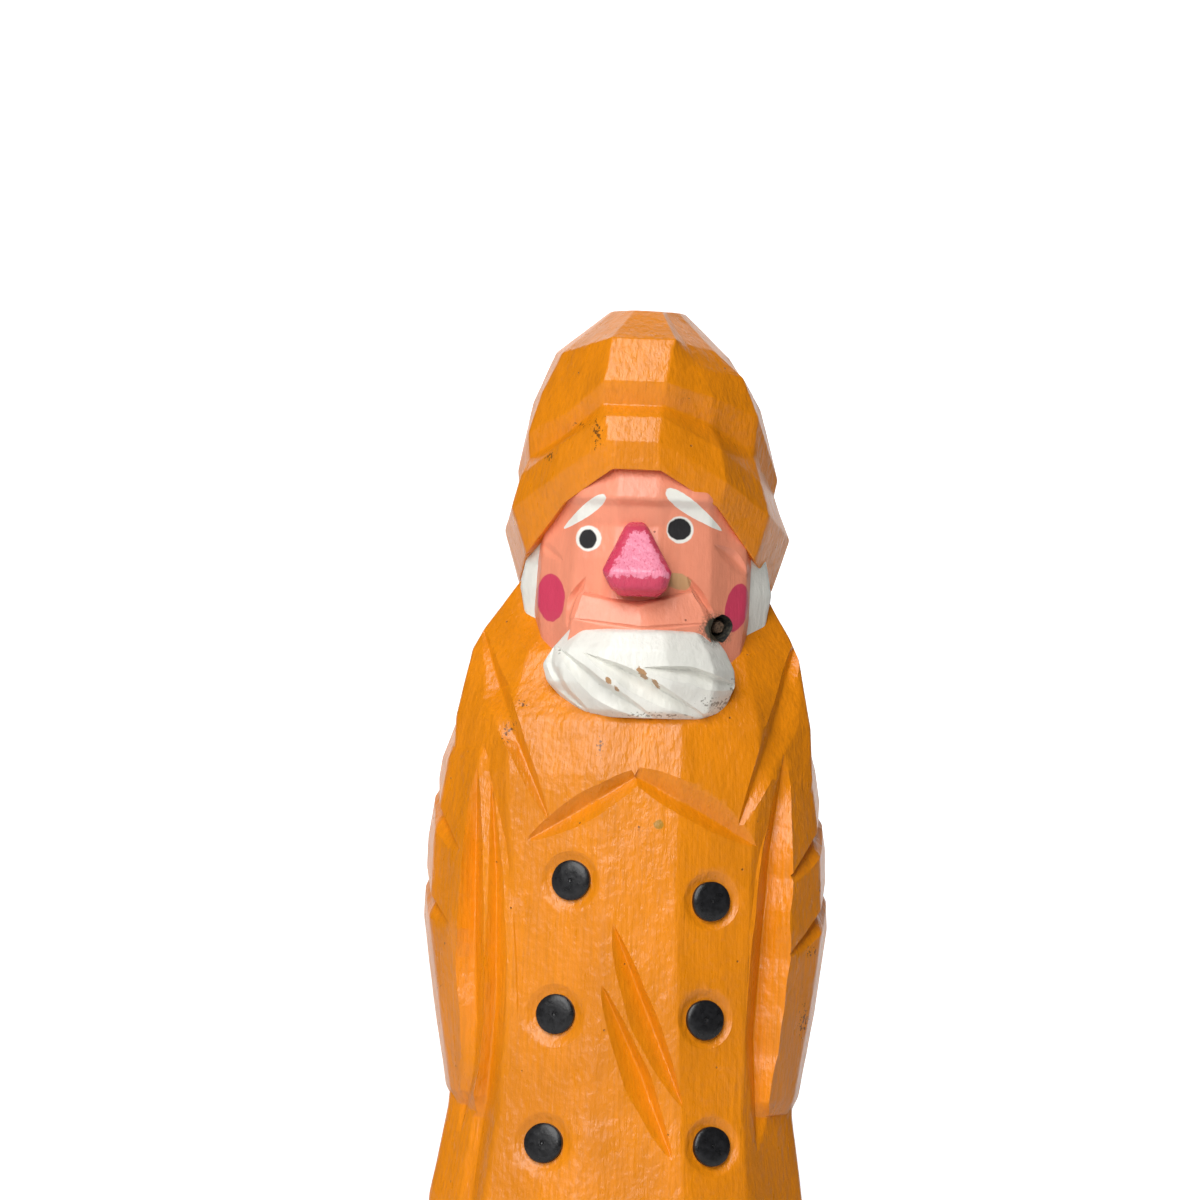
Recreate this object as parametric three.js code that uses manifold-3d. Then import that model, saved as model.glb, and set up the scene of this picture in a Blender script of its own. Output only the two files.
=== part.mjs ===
// A carved and painted wooden fisherman in a sou'wester and a long double-breasted oilskin coat.
// Millimetres, +Z up. He faces -Y, his left hand side is +X, and the origin is the middle of the underside.

import * as THREE from "three";
import { mergeVertices } from "three/addons/utils/BufferGeometryUtils.js";
import Module from "manifold-3d";

const wasm = await Module();
wasm.setup();

// Driving heights above the surface that he stands on.
const BASE_TOP = 7;
const HEM = 35;
const CUFF = 86.6;
const COLLAR_POINT = 136.2;
const BEARD_LOW = 145;
const CHIN_TOP = 157.8;
const BROW = 177;
const HAT_TOP = 205;

// The base slab, wider than everything on it.
const BASE_HALF_WIDTH = 31;
const BASE_HALF_DEPTH = 28;
const BASE_CORNER = 11;
const BASE_CHAMFER = 1.2;

// The six buttons: a disc left standing in a shallow turned dish.
const BUTTON_RADIUS = 2.95;
const DISH_RADIUS = 4.6;
const DISH_DEEP = 0.85;
const BUTTON_SIDES = 16;
const BUTTONS = [
  [-8.4, 120.8], [-10.0, 101.2], [-11.1, 82.4],
  [12.4, 118.4], [12.1, 101.1], [13.7, 82.7],
];

// The hole for the pipe at the corner of the mouth, and the broken stem left in it.
const PIPE_MOUTH = [12.6, 158.4];
const PIPE_TURN = 38;
const PIPE_DROP = 6;
const PIPE_HOLE_RADIUS = 1.75;
const PIPE_HOLE_DEEP = 4.2;
const STEM_RADIUS = 1.0;
const STEM_LONG = 3.4;
const STEM_PROUD = -0.3;
const STEM_OFFSET = 0.35;
const ROUND_SIDES = 12;

const FIT_GAP = 0.3;
const CUTTER_RISE = 1.7;
const GOUGE_STATIONS = 7;
const FAR = 200;
const OUTLINE_STEP = 0.02;
const MERGE_WITHIN = 1e-5;

const paint = (colour, roughness) => new THREE.MeshStandardMaterial({ color: colour, roughness, metalness: 0 });

// Plans: the corners of a block seen from above, as fractions of its half width and half depth, with the
// index of the height that each corner takes. They start at the front left and run counter-clockwise.
const COAT_PLAN = [
  [-0.24, -1, 0], [0.22, -1, 0], [0.7, -0.8, 0], [1, -0.3, 1], [1, 0.32, 1], [0.72, 0.8, 2],
  [0.24, 1, 2], [-0.24, 1, 2], [-0.72, 0.8, 2], [-1, 0.32, 1], [-1, -0.3, 1], [-0.7, -0.8, 0],
];
const CROWN_PLAN = [
  [-0.34, -1, 0], [0.17, -1, 0], [0.78, -0.5, 1], [1, 0, 2], [0.84, 0.58, 3], [0.36, 1, 3],
  [-0.36, 1, 3], [-0.84, 0.58, 3], [-1, 0, 2], [-0.95, -0.42, 1],
];
const BRIM_PLAN = [
  [-0.3, -1, 0], [0.1, -1, 0], [0.53, -0.88, 1], [0.84, -0.52, 2], [1, 0.02, 3], [0.86, 0.62, 4],
  [0.38, 1, 4], [-0.38, 1, 4], [-0.86, 0.62, 4], [-1, 0.02, 3], [-0.96, -0.48, 2], [-0.66, -0.84, 1],
];
const FACE_PLAN = [
  [-0.27, -1, 0], [0.12, -1, 0], [0.58, -0.86, 0], [0.9, -0.52, 0], [1, 0, 0],
  [0.7, 1, 0], [-0.7, 1, 0], [-1, 0, 0], [-0.92, -0.46, 0], [-0.62, -0.84, 0],
];
const BEARD_PLAN = [
  [-0.36, -1, 0], [0.3, -1, 0], [0.78, -0.66, 0], [1, 0, 0],
  [0.8, 1, 0], [-0.8, 1, 0], [-1, 0, 0], [-0.8, -0.6, 0],
];
const ARM_PLAN = [
  [-0.55, -1, 0], [0.35, -0.82, 0], [0.88, -0.38, 0], [1, 0.12, 0],
  [0.72, 0.68, 0], [0, 1, 0], [-1, 0.6, 0], [-1, -0.6, 0],
];
const NOSE_PLAN = [
  [-0.72, -1, 0], [0.72, -1, 0], [1, -0.7, 0], [1, 1, 0], [-1, 1, 0], [-1, -0.7, 0],
];
const BOOT_PLAN = [
  [-0.45, -1, 0], [0.45, -1, 0], [0.95, -0.62, 0], [1, 0.5, 0],
  [0.6, 1, 0], [-0.6, 1, 0], [-1, 0.5, 0], [-0.95, -0.62, 0],
];

// One ring of a block: a plan stretched between x and y limits, at one height or at the heights its corners take.
function ring(plan, { x, y, z }) {
  const heights = Array.isArray(z) ? z : [z];
  const at = (limits, f) => (limits[0] + limits[1]) / 2 + (f * (limits[1] - limits[0])) / 2;
  return plan.map(([fx, fy, h]) => [at(x, fx), at(y, fy), heights[Math.min(h, heights.length - 1)]]);
}

// A closed mesh as a solid that can be joined and cut, turned the right way out where it isn't.
function solid(geometry) {
  const bare = geometry.clone();
  bare.deleteAttribute("normal");
  bare.deleteAttribute("uv");
  const merged = mergeVertices(bare, MERGE_WITHIN);
  const vertProperties = new Float32Array(merged.attributes.position.array);
  const make = (triVerts) => new wasm.Manifold(new wasm.Mesh({ numProp: 3, vertProperties, triVerts }));
  const made = make(new Uint32Array(merged.index.array));
  return made.volume() > 0 ? made : make(new Uint32Array(merged.index.array).reverse());
}

// A solid's vertices and triangles as a geometry.
function geometryOf(manifold) {
  const mesh = manifold.getMesh();
  const geometry = new THREE.BufferGeometry();
  geometry.setAttribute("position", new THREE.BufferAttribute(new Float32Array(mesh.vertProperties), 3));
  geometry.setIndex(new THREE.BufferAttribute(new Uint32Array(mesh.triVerts), 1));
  return geometry;
}

// Rings joined by facets from the bottom ring to the top ring, each end closed by a fan to its middle.
function loft(rings) {
  const n = rings[0].length;
  const points = rings.flat();
  const faces = [];
  for (let r = 0; r + 1 < rings.length; r += 1) {
    for (let k = 0; k < n; k += 1) {
      const [a, b] = [r * n + k, r * n + ((k + 1) % n)];
      faces.push(a, b, b + n, a, b + n, a + n);
    }
  }
  for (const [row, up] of [[0, false], [rings.length - 1, true]]) {
    const middle = [0, 1, 2].map((axis) => rings[row].reduce((sum, p) => sum + p[axis], 0) / n);
    points.push(middle);
    for (let k = 0; k < n; k += 1) {
      const [a, b] = [row * n + k, row * n + ((k + 1) % n)];
      faces.push(...(up ? [a, b] : [b, a]), points.length - 1);
    }
  }
  const geometry = new THREE.BufferGeometry();
  geometry.setAttribute("position", new THREE.Float32BufferAttribute(points.flat(), 3));
  geometry.setIndex(faces);
  return geometry;
}

const block = (plan, levels) => solid(loft(levels.map((level) => ring(plan, level))));

// The look from one side: azimuth 0 is from the front, 90 from his left.
function look(azimuth) {
  const a = THREE.MathUtils.degToRad(azimuth);
  return {
    into: new THREE.Vector3(-Math.sin(a), Math.cos(a), 0),
    right: new THREE.Vector3(Math.cos(a), Math.sin(a), 0),
  };
}

// Finds the surface under a point of that look, so that cuts are laid out as seen and start on the wood. Past
// the outline it goes on as deep as the wood lies at the outline.
function surfaceFinder(manifold, azimuth) {
  const { into, right } = look(azimuth);
  const mesh = new THREE.Mesh(geometryOf(manifold), new THREE.MeshBasicMaterial({ side: THREE.DoubleSide }));
  const start = (s, z) => new THREE.Vector3(0, 0, z).addScaledVector(right, s).addScaledVector(into, -FAR);
  return (s, z) => {
    for (let reach = 1; reach > 0; reach -= OUTLINE_STEP) {
      const hit = new THREE.Raycaster(start(s * reach, z), into).intersectObject(mesh)[0];
      if (hit) {
        return start(s, z).addScaledVector(into, hit.distance);
      }
    }
    throw new Error(`no wood beside ${s}, ${z} from azimuth ${azimuth}`);
  };
}

// A point part of the way along a path of [s, z] points, by length.
function along(path, t) {
  const lengths = path.slice(1).map((p, i) => Math.hypot(p[0] - path[i][0], p[1] - path[i][1]));
  let left = t * lengths.reduce((a, b) => a + b, 0);
  let i = 0;
  while (i < lengths.length - 1 && left > lengths[i]) {
    left -= lengths[i];
    i += 1;
  }
  const f = Math.min(1, left / lengths[i]);
  return path[i].map((v, axis) => v + f * (path[i + 1][axis] - v));
}

// A V-gouge as the boat-shaped wedge that the tool takes out. The valley follows the path. Its two edges lie
// on the surface, offset by "one" and "two" where it is widest, and it runs out to a point at both ends.
function gouge(finder, azimuth, { path, one, two, deep, swell = 1 }) {
  const { into } = look(azimuth);
  const points = [];
  for (let i = 1; i < GOUGE_STATIONS - 1; i += 1) {
    const t = i / (GOUGE_STATIONS - 1);
    const full = Math.sin(Math.PI * t ** swell) ** 0.75;
    const [s, z] = along(path, t);
    const valley = finder(s, z).clone().addScaledVector(into, deep * full);
    const edges = [one, two].map(([ds, dz]) => finder(s + ds * full, z + dz * full));
    const raised = edges.map((edge) => valley.clone().lerp(edge, CUTTER_RISE));
    points.push([valley, ...raised]);
  }
  const tips = [finder(...path[0]), finder(...path[path.length - 1])];
  return boat(points, tips);
}

// A triangular tube through the sections, closed to a point at each tip.
function boat(sections, tips) {
  const flat = [...sections.flat(), ...tips].map((p) => [p.x, p.y, p.z]);
  const last = sections.length - 1;
  const [start, end] = [flat.length - 2, flat.length - 1];
  const faces = [];
  for (let k = 0; k < 3; k += 1) {
    const next = (k + 1) % 3;
    faces.push(start, next, k, end, last * 3 + k, last * 3 + next);
    for (let i = 0; i < last; i += 1) {
      faces.push(i * 3 + k, i * 3 + next, i * 3 + 3 + next, i * 3 + k, i * 3 + 3 + next, i * 3 + 3 + k);
    }
  }
  const geometry = new THREE.BufferGeometry();
  geometry.setAttribute("position", new THREE.Float32BufferAttribute(flat.flat(), 3));
  geometry.setIndex(faces);
  return solid(geometry);
}

const cutAll = (wood, azimuth, cuts) => {
  const finder = surfaceFinder(wood, azimuth);
  return cuts.reduce((left, cut) => left.subtract(gouge(finder, azimuth, cut)), wood);
};

// A profile of [radius, height] turned about the line through a point, pointing out along a direction.
function turned(profile, sides, point, out) {
  const geometry = new THREE.LatheGeometry(profile.map(([r, h]) => new THREE.Vector2(r, h)), sides);
  const turn = new THREE.Quaternion().setFromUnitVectors(new THREE.Vector3(0, 1, 0), out);
  geometry.applyMatrix4(new THREE.Matrix4().compose(point, turn, new THREE.Vector3(1, 1, 1)));
  return geometry;
}

function base() {
  const [w, d, c] = [BASE_HALF_WIDTH, BASE_HALF_DEPTH, BASE_CORNER];
  const outline = (grow, z) => [
    [-w + c, -d - grow], [w - c, -d - grow], [w + grow, -d + c], [w + grow, d - c],
    [w - c, d + grow], [-w + c, d + grow], [-w - grow, d - c], [-w - grow, -d + c],
  ].map(([x, y]) => [x, y, z]);
  return solid(loft([outline(0, 0), outline(0, BASE_TOP - BASE_CHAMFER), outline(-BASE_CHAMFER, BASE_TOP)]));
}

// A sea boot, for the side given by -1 or 1: a foot with its toe forward under a short shaft.
function boot(side) {
  const [inner, outer] = [0.5, 20.5];
  const x = (from, to) => (side > 0 ? [from, to] : [-to, -from]);
  const foot = block(BOOT_PLAN, [
    { x: x(inner, outer), y: [-25.2, 16.5], z: BASE_TOP - 1 },
    { x: x(inner, outer), y: [-25.4, 16.5], z: BASE_TOP + 3 },
    { x: x(inner + 0.6, outer - 0.8), y: [-23.2, 16], z: BASE_TOP + 8 },
    { x: x(inner + 1.6, outer - 2), y: [-13, 15], z: BASE_TOP + 13 },
  ]);
  const shaft = block(BOOT_PLAN, [
    { x: x(inner + 0.4, outer - 1), y: [-12, 16], z: BASE_TOP + 5 },
    { x: x(inner, outer), y: [-13.5, 15.5], z: HEM - 6 },
    { x: x(inner, outer), y: [-14, 15.5], z: HEM + 4 },
  ]);
  return foot.add(shaft);
}

// The coat without its sleeves, from the hem up to the neck hidden under the beard and the hat.
function coat() {
  return block(COAT_PLAN, [
    { x: [-28.6, 29.0], y: [-25.6, 23.6], z: [HEM - 0.5, HEM + 0.5, HEM] },
    { x: [-30.0, 30.2], y: [-27.2, 24.8], z: HEM + 2 },
    { x: [-27.6, 27.6], y: [-24.6, 21.6], z: 73.5 },
    { x: [-25.3, 25.6], y: [-23.4, 20.4], z: CUFF },
    { x: [-24.4, 25.4], y: [-22.6, 19.4], z: 103 },
    { x: [-24.6, 25.6], y: [-21.6, 19], z: 122 },
    { x: [-26.4, 27], y: [-20.4, 18.6], z: COLLAR_POINT },
    { x: [-26.2, 26.4], y: [-17.2, 18.2], z: [144, 144, 145] },
    { x: [-24.2, 24.4], y: [-15.2, 17.6], z: [150, 154, 154] },
    { x: [-22.6, 23], y: [-13.2, 17], z: [154, 157, 158] },
    { x: [-16.8, 18.2], y: [-9, 15.4], z: [160, 165.2, 164] },
  ]);
}

// A sleeve for the side given by -1 or 1. It ends at the pocket, standing a little proud of the coat.
function sleeve(side) {
  const outer = side > 0 ? [24.6, 27.6, 29.4, 30.1, 28.7, 26.2, 25.6] : [24.4, 28.2, 29.9, 30.2, 28.3, 25.4, 24.8];
  const inner = side > 0 ? [11, 11, 12, 12.4, 11.4, 10.6, 10.8] : [11, 11, 12, 12.4, 11.6, 10.8, 10.6];
  const heights = [152, 137.6, 126, 114, 102, 89, CUFF];
  const front = [-11.5, -14.8, -15.6, -16.4, -17.2, -17, -16.4];
  const back = [12, 14.5, 15.5, 15, 13.5, 11, 10];
  const levels = heights.map((z, i) => ({
    x: side > 0 ? [inner[i], outer[i]] : [inner[i], outer[i]],
    y: [front[i], back[i]],
    z,
  }));
  const rings = levels.toReversed().map((level) => ring(ARM_PLAN, level));
  if (side > 0) {
    return solid(loft(rings));
  }
  return solid(loft(rings.map((r) => r.map(([x, y, z]) => [-x, y, z]).toReversed())));
}

function face() {
  const head = block(FACE_PLAN, [
    { x: [-12.6, 14], y: [-15.6, 12], z: BEARD_LOW + 1.5 },
    { x: [-14.9, 17], y: [-17.2, 13], z: 153.5 },
    { x: [-15.9, 17.7], y: [-17.8, 14], z: 160 },
    { x: [-16, 17.8], y: [-17.4, 14], z: 163 },
    { x: [-15.7, 17.7], y: [-17.4, 14], z: 168 },
    { x: [-15.2, 17.2], y: [-16.6, 14], z: 173 },
    { x: [-14.9, 16.8], y: [-16.8, 14], z: BROW - 1.2 },
    { x: [-14.8, 16.6], y: [-17.7, 14], z: BROW },
    { x: [-14.2, 15.8], y: [-15.9, 14], z: 181.5 },
    { x: [-13, 14.5], y: [-14, 12], z: 187 },
  ]);
  const muzzle = solid(loft([
    [[-10.4, -17.2, 155], [1, -20.4, 155], [11.4, -17, 155], [0, -8, 155]],
    [[-9.6, -18.4, 158.4], [1, -20.6, 157.9], [10.6, -18.2, 158.9], [0, -8, 158]],
    [[-8.6, -16.4, 162.7], [0.6, -17, 161.3], [8.8, -16, 163.6], [0, -8, 162]],
  ]));
  const hair = block(FACE_PLAN, [
    { x: [-14.4, 17.4], y: [-9.4, 14], z: 152 },
    { x: [-16.8, 19.6], y: [-10.2, 16], z: 158 },
    { x: [-18, 20.2], y: [-10.6, 17], z: 163.5 },
    { x: [-15.6, 17.8], y: [-11.4, 17], z: 172 },
  ]);
  return head.add(muzzle).add(hair);
}

function nose() {
  return block(NOSE_PLAN, [
    { x: [-3.6, 3.8], y: [-20.6, -12], z: 162.6 },
    { x: [-4.6, 4.4], y: [-23.4, -12], z: 163.9 },
    { x: [-5.4, 4.8], y: [-23.6, -12], z: 166.2 },
    { x: [-2.2, 1.2], y: [-18.2, -12], z: 173 },
    { x: [-1.6, 0.6], y: [-16.4, -12], z: 173.6 },
  ]);
}

function beard() {
  return block(BEARD_PLAN, [
    { x: [-7.6, 11], y: [-19.6, -8], z: BEARD_LOW - 0.2 },
    { x: [-9.2, 12.8], y: [-20.9, -8], z: BEARD_LOW + 0.6 },
    { x: [-13.1, 14.8], y: [-22.5, -8], z: 149.8 },
    { x: [-13.7, 14.4], y: [-22.4, -8], z: 152.6 },
    { x: [-10.2, 10.6], y: [-20.2, -8], z: CHIN_TOP - 1 },
    { x: [-9.2, 9.6], y: [-18.6, -8], z: CHIN_TOP },
  ]);
}

function crown() {
  return block(CROWN_PLAN, [
    { x: [-17, 19], y: [-12, 20], z: [182, 178, 172, 164] },
    { x: [-18.7, 20.6], y: [-14.3, 22], z: [191.3, 187, 180.5, 174] },
    { x: [-17.4, 18.8], y: [-14.6, 20.8], z: [194.2, 191, 188, 184] },
    { x: [-13.1, 12.5], y: [-11.9, 15.6], z: [200.8, 198.9, 198.4, 197.4] },
    { x: [-5.3, 5.6], y: [-6.4, 8.4], z: HAT_TOP },
  ]);
}

function brim() {
  return block(BRIM_PLAN, [
    { x: [-14, 16.6], y: [-14.6, 18], z: [182.6, 178, 171, 167, 161] },
    { x: [-17.6, 20.2], y: [-18.9, 22.6], z: [181.1, 176, 168.4, 164.3, 157] },
    { x: [-20.1, 22.6], y: [-19, 24.8], z: [184, 178.6, 173.8, 171, 160.6] },
    { x: [-19.6, 22], y: [-18.2, 24.2], z: [185.6, 180.4, 175.4, 172.4, 162.4] },
    { x: [-18.6, 20.3], y: [-15.2, 22.2], z: [189.3, 184.4, 181, 178.3, 169.6] },
    { x: [-18, 19.8], y: [-14.4, 21.6], z: [191.3, 187.6, 184, 181, 174] },
  ]);
}

// Cuts seen from the front: the collar, the grooves beside the sleeves, the two creases in the skirt.
const COAT_CUTS = [
  { path: [[-22.6, 157.6], [-20, 148.3], [-17.7, 143.7], [-12.3, 128.8]], one: [-1.2, 0], two: [1.3, 0.4], deep: 1.1 },
  { path: [[23.4, 156], [20.3, 144.6], [14.6, 128.4]], one: [-1.1, 0.2], two: [2.6, -0.6], deep: 1.6 },
  { path: [[1.6, 136.6], [-6.4, 131.8], [-15.2, 126]], one: [-1.6, 2.3], two: [1.4, -2.2], deep: 2.1, swell: 0.8 },
  { path: [[0.6, 136.6], [8.4, 132.6], [18.2, 126.6]], one: [1.2, 2.6], two: [-1.6, -2.1], deep: 2.1, swell: 0.8 },
  { path: [[-2.3, 114.4], [3, 103.2], [9.4, 88.2]], one: [-2.2, 1], two: [1.5, -0.6], deep: 1.7 },
  { path: [[-3.2, 105.8], [3.7, 91.1], [8.1, 80.4]], one: [-2.3, 1.4], two: [1.2, -0.6], deep: 1.5 },
];
const SLEEVE_CUTS = [
  { path: [[-22.6, 137.4], [-22.4, 108.4], [-21.6, 96.7], [-24.2, 84.6]], one: [-2.6, 0], two: [1.2, 0], deep: 2.6 },
  { path: [[-20.4, 134.4], [-18.9, 112], [-19.2, 92], [-21.4, 72], [-22.4, 52]], one: [-1.1, 0], two: [1.7, 0], deep: 1.6 },
  { path: [[22.6, 139.6], [21.4, 126], [20.2, 110], [20, 96], [20.8, 86.2]], one: [-1.3, 0], two: [3.6, 0], deep: 3 },
];
const SIDE_CUTS = [
  { azimuth: -40, path: [[-23, 134], [-10.6, 124.4]], one: [-0.9, 1.6], two: [0.6, -2.6], deep: 1.6 },
  { azimuth: -40, path: [[-24, 121], [-11.6, 113.6]], one: [-0.9, 1.6], two: [0.6, -2.4], deep: 1.4 },
  { azimuth: 40, path: [[23.6, 133.2], [8.6, 121.2]], one: [0.8, 2], two: [-0.6, -2.2], deep: 1.8 },
  { azimuth: 40, path: [[24.2, 121.4], [9.6, 110.4]], one: [0.8, 2], two: [-0.6, -2.2], deep: 1.6 },
];
const BEARD_CUTS = [
  { path: [[-12, 154.4], [-11, 150], [-7.4, 145.6]], one: [-0.7, 0], two: [0.9, 0.2], deep: 0.7 },
  { path: [[-11.4, 154.2], [-7, 149], [-1.6, 145.6]], one: [-1, -1], two: [1, 0.9], deep: 1.0 },
  { path: [[-7.4, 153.6], [1.6, 149.4], [10, 145.6]], one: [-1.2, -1.4], two: [0.6, 0.9], deep: 1.2 },
  { path: [[0.8, 152.4], [7.6, 152], [14, 150.4]], one: [-0.2, -1.5], two: [0.1, 0.8], deep: 1.0 },
];
const FACE_CUTS = [
  { path: [[-7.6, 165.4], [-9.3, 161.6], [-10.2, 157.6]], one: [-0.9, 0.3], two: [0.7, 0], deep: 0.9 },
  { path: [[7.2, 165.8], [9.2, 162.6], [11.6, 159.2]], one: [-0.8, 0], two: [0.9, 0.3], deep: 0.9 },
  { path: [[11, 170.6], [13.8, 168.8], [16.6, 166]], one: [0.3, 1.1], two: [-0.3, -1.2], deep: 0.9 },
  { path: [[-15, 170.4], [-13.2, 169], [-11.2, 167.6]], one: [0.2, 0.8], two: [-0.3, -0.9], deep: 0.6 },
  { path: [[-10.4, 159.2], [0.8, 157.9], [12, 159.2]], one: [0, 0.5], two: [0, -0.5], deep: 0.5 },
];

// The ring cut around one button, square to the surface there.
function dish(finder, [x, z]) {
  const step = 1.5;
  const point = finder(x, z);
  const across = finder(x + step, z).clone().sub(finder(x - step, z));
  const rise = finder(x, z + step).clone().sub(finder(x, z - step));
  const out = across.cross(rise).normalize();
  const profile = [
    [BUTTON_RADIUS, -DISH_DEEP], [DISH_RADIUS, 0.1], [DISH_RADIUS + 0.6, 1.6],
    [BUTTON_RADIUS - 0.25, 1.6], [BUTTON_RADIUS, -DISH_DEEP],
  ];
  return solid(turned(profile, BUTTON_SIDES, point, out));
}

// The line that the pipe ran along, out of the wood, and the point where it leaves the mouth.
function pipeLine(wood) {
  const point = surfaceFinder(wood, 0)(...PIPE_MOUTH);
  const [turn, drop] = [PIPE_TURN, PIPE_DROP].map(THREE.MathUtils.degToRad);
  const out = new THREE.Vector3(Math.sin(turn) * Math.cos(drop), -Math.cos(turn) * Math.cos(drop), -Math.sin(drop));
  return { point, out };
}

// A straight round rod between two heights along the pipe's line.
function rod(radius, low, high, point, out) {
  return solid(turned([[0, low], [radius, low], [radius, high], [0, high]], ROUND_SIDES, point, out));
}

// The wood itself, without the small chips that crossing cuts leave loose.
function withoutChips(wood) {
  return wood.decompose().reduce((a, b) => (b.volume() > a.volume() ? b : a));
}

function carving() {
  const body = [sleeve(-1), sleeve(1)].reduce((wood, arm) => wood.add(arm), coat());
  const grooved = cutAll(cutAll(body, 0, COAT_CUTS), 0, SLEEVE_CUTS);
  const folded = SIDE_CUTS.reduce((wood, cut) => cutAll(wood, cut.azimuth, [cut]), grooved);
  const finder = surfaceFinder(body, 0);
  const buttoned = BUTTONS.reduce((wood, spot) => wood.subtract(dish(finder, spot)), folded);
  const chin = cutAll(beard(), 0, BEARD_CUTS);
  const head = cutAll(face(), 0, FACE_CUTS).add(nose()).add(chin);
  const line = pipeLine(head);
  const drilled = head.subtract(rod(PIPE_HOLE_RADIUS, -PIPE_HOLE_DEEP, 3, line.point, line.out));
  const hat = crown().add(brim());
  const joined = [boot(-1), boot(1), buttoned, drilled, hat].reduce((wood, piece) => wood.add(piece), base());
  return { whole: withoutChips(joined), line };
}

const { whole, line } = carving();

const fisherman = new THREE.Mesh(geometryOf(whole), paint(0xdf8a10, 0.35));
fisherman.name = "fisherman";

// The stem sits against the far side of its hole, clear of the wall by the fit gap.
const aside = new THREE.Vector3(0, 0, 1).cross(line.out).normalize();
const stemPoint = line.point.clone().addScaledVector(aside, STEM_OFFSET);
const stem = rod(STEM_RADIUS, FIT_GAP - PIPE_HOLE_DEEP, STEM_LONG - PIPE_HOLE_DEEP + STEM_PROUD, stemPoint, line.out);
const stub = new THREE.Mesh(geometryOf(stem), paint(0x6b5140, 0.8));
stub.name = "pipe_stem_stub";

const figure = new THREE.Group();
figure.add(fisherman, stub);

export default figure;
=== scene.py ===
import math

import bmesh
import bpy
import numpy as np
from mathutils import Matrix, Vector


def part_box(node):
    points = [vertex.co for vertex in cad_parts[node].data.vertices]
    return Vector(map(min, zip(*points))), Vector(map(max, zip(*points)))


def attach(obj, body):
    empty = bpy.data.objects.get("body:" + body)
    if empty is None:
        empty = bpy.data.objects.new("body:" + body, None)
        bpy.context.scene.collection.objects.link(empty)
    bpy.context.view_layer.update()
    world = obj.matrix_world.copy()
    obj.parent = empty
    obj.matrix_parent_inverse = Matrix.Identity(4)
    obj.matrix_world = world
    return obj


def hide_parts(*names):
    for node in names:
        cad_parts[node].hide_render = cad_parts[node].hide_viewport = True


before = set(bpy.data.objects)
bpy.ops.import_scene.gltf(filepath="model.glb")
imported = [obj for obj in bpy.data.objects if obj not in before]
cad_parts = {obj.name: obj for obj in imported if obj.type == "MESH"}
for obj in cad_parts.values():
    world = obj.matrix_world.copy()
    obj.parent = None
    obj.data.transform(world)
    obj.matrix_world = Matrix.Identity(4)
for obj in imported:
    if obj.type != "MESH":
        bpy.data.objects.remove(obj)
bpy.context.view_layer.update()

bl_info = {
    "name": "Carved fisherman",
    "version": (1, 0, 0),
    "blender": (4, 5, 0),
    "location": "View3D > Sidebar > Carving",
    "description": "A painted wooden fisherman in a sou'wester and oilskin coat, with the broken stem of his pipe",
    "category": "Add Mesh",
}

STEM_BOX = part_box("pipe_stem_stub")
MM = 0.001

# Heights above the surface that he stands on, in millimetres. He faces -Y and his left hand side is +X.
BASE_TOP = 7.0
HEM = 35.0
CUFF = 86.6
COLLAR_POINT = 136.2
BEARD_LOW = 145.0
CHIN_TOP = 157.8
BROW = 177.0
HAT_TOP = 205.0

BASE_HALF_WIDTH = 31.0
BASE_HALF_DEPTH = 28.0
BASE_CORNER = 11.0
BASE_CHAMFER = 1.2

BUTTON_RADIUS = 2.95
DISH_RADIUS = 4.6
DISH_DEEP = 0.85
BUTTONS = ((-8.4, 120.8), (-10.0, 101.2), (-11.1, 82.4), (12.4, 118.4), (12.1, 101.1), (13.7, 82.7))

PIPE_TURN = 38.0
PIPE_DROP = 6.0
PIPE_HOLE_RADIUS = 1.75
PIPE_HOLE_DEEP = 4.2
STEM_RADIUS = 1.0
STEM_LONG = 2.8
STEM_OFFSET = 0.35

CUTTER_RISE = 1.7
EASE_TAPS = 8

# The paints, in the order of the piece's material slots.
PAINTS = ("coat", "flesh", "white", "nose", "button", "boot", "base", "hollow")

# Plans: the corners of a block seen from above, as fractions of its half width and half depth, with the
# index of the height that each corner takes. They start at the front left and run counter-clockwise.
COAT_PLAN = (
    (-0.24, -1, 0), (0.22, -1, 0), (0.7, -0.8, 0), (1, -0.3, 1), (1, 0.32, 1), (0.72, 0.8, 2),
    (0.24, 1, 2), (-0.24, 1, 2), (-0.72, 0.8, 2), (-1, 0.32, 1), (-1, -0.3, 1), (-0.7, -0.8, 0),
)
CROWN_PLAN = (
    (-0.34, -1, 0), (0.17, -1, 0), (0.47, -0.8, 1), (0.82, -0.5, 2), (1, 0, 3), (0.84, 0.6, 4),
    (0.36, 1, 4), (-0.36, 1, 4), (-0.84, 0.6, 4), (-1, 0, 3), (-0.92, -0.46, 5), (-0.63, -0.76, 6),
)
BRIM_PLAN = (
    (-0.3, -1, 0), (0.1, -1, 0), (0.53, -0.84, 1), (0.84, -0.52, 2), (1, 0.02, 3), (0.86, 0.62, 4),
    (0.38, 1, 4), (-0.38, 1, 4), (-0.86, 0.62, 4), (-1, 0.02, 3), (-0.95, -0.46, 2), (-0.66, -0.79, 1),
)
FACE_PLAN = (
    (-0.27, -1, 0), (0.12, -1, 0), (0.58, -0.86, 0), (0.9, -0.52, 0), (1, 0, 0),
    (0.7, 1, 0), (-0.7, 1, 0), (-1, 0, 0), (-0.92, -0.46, 0), (-0.62, -0.84, 0),
)
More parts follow.
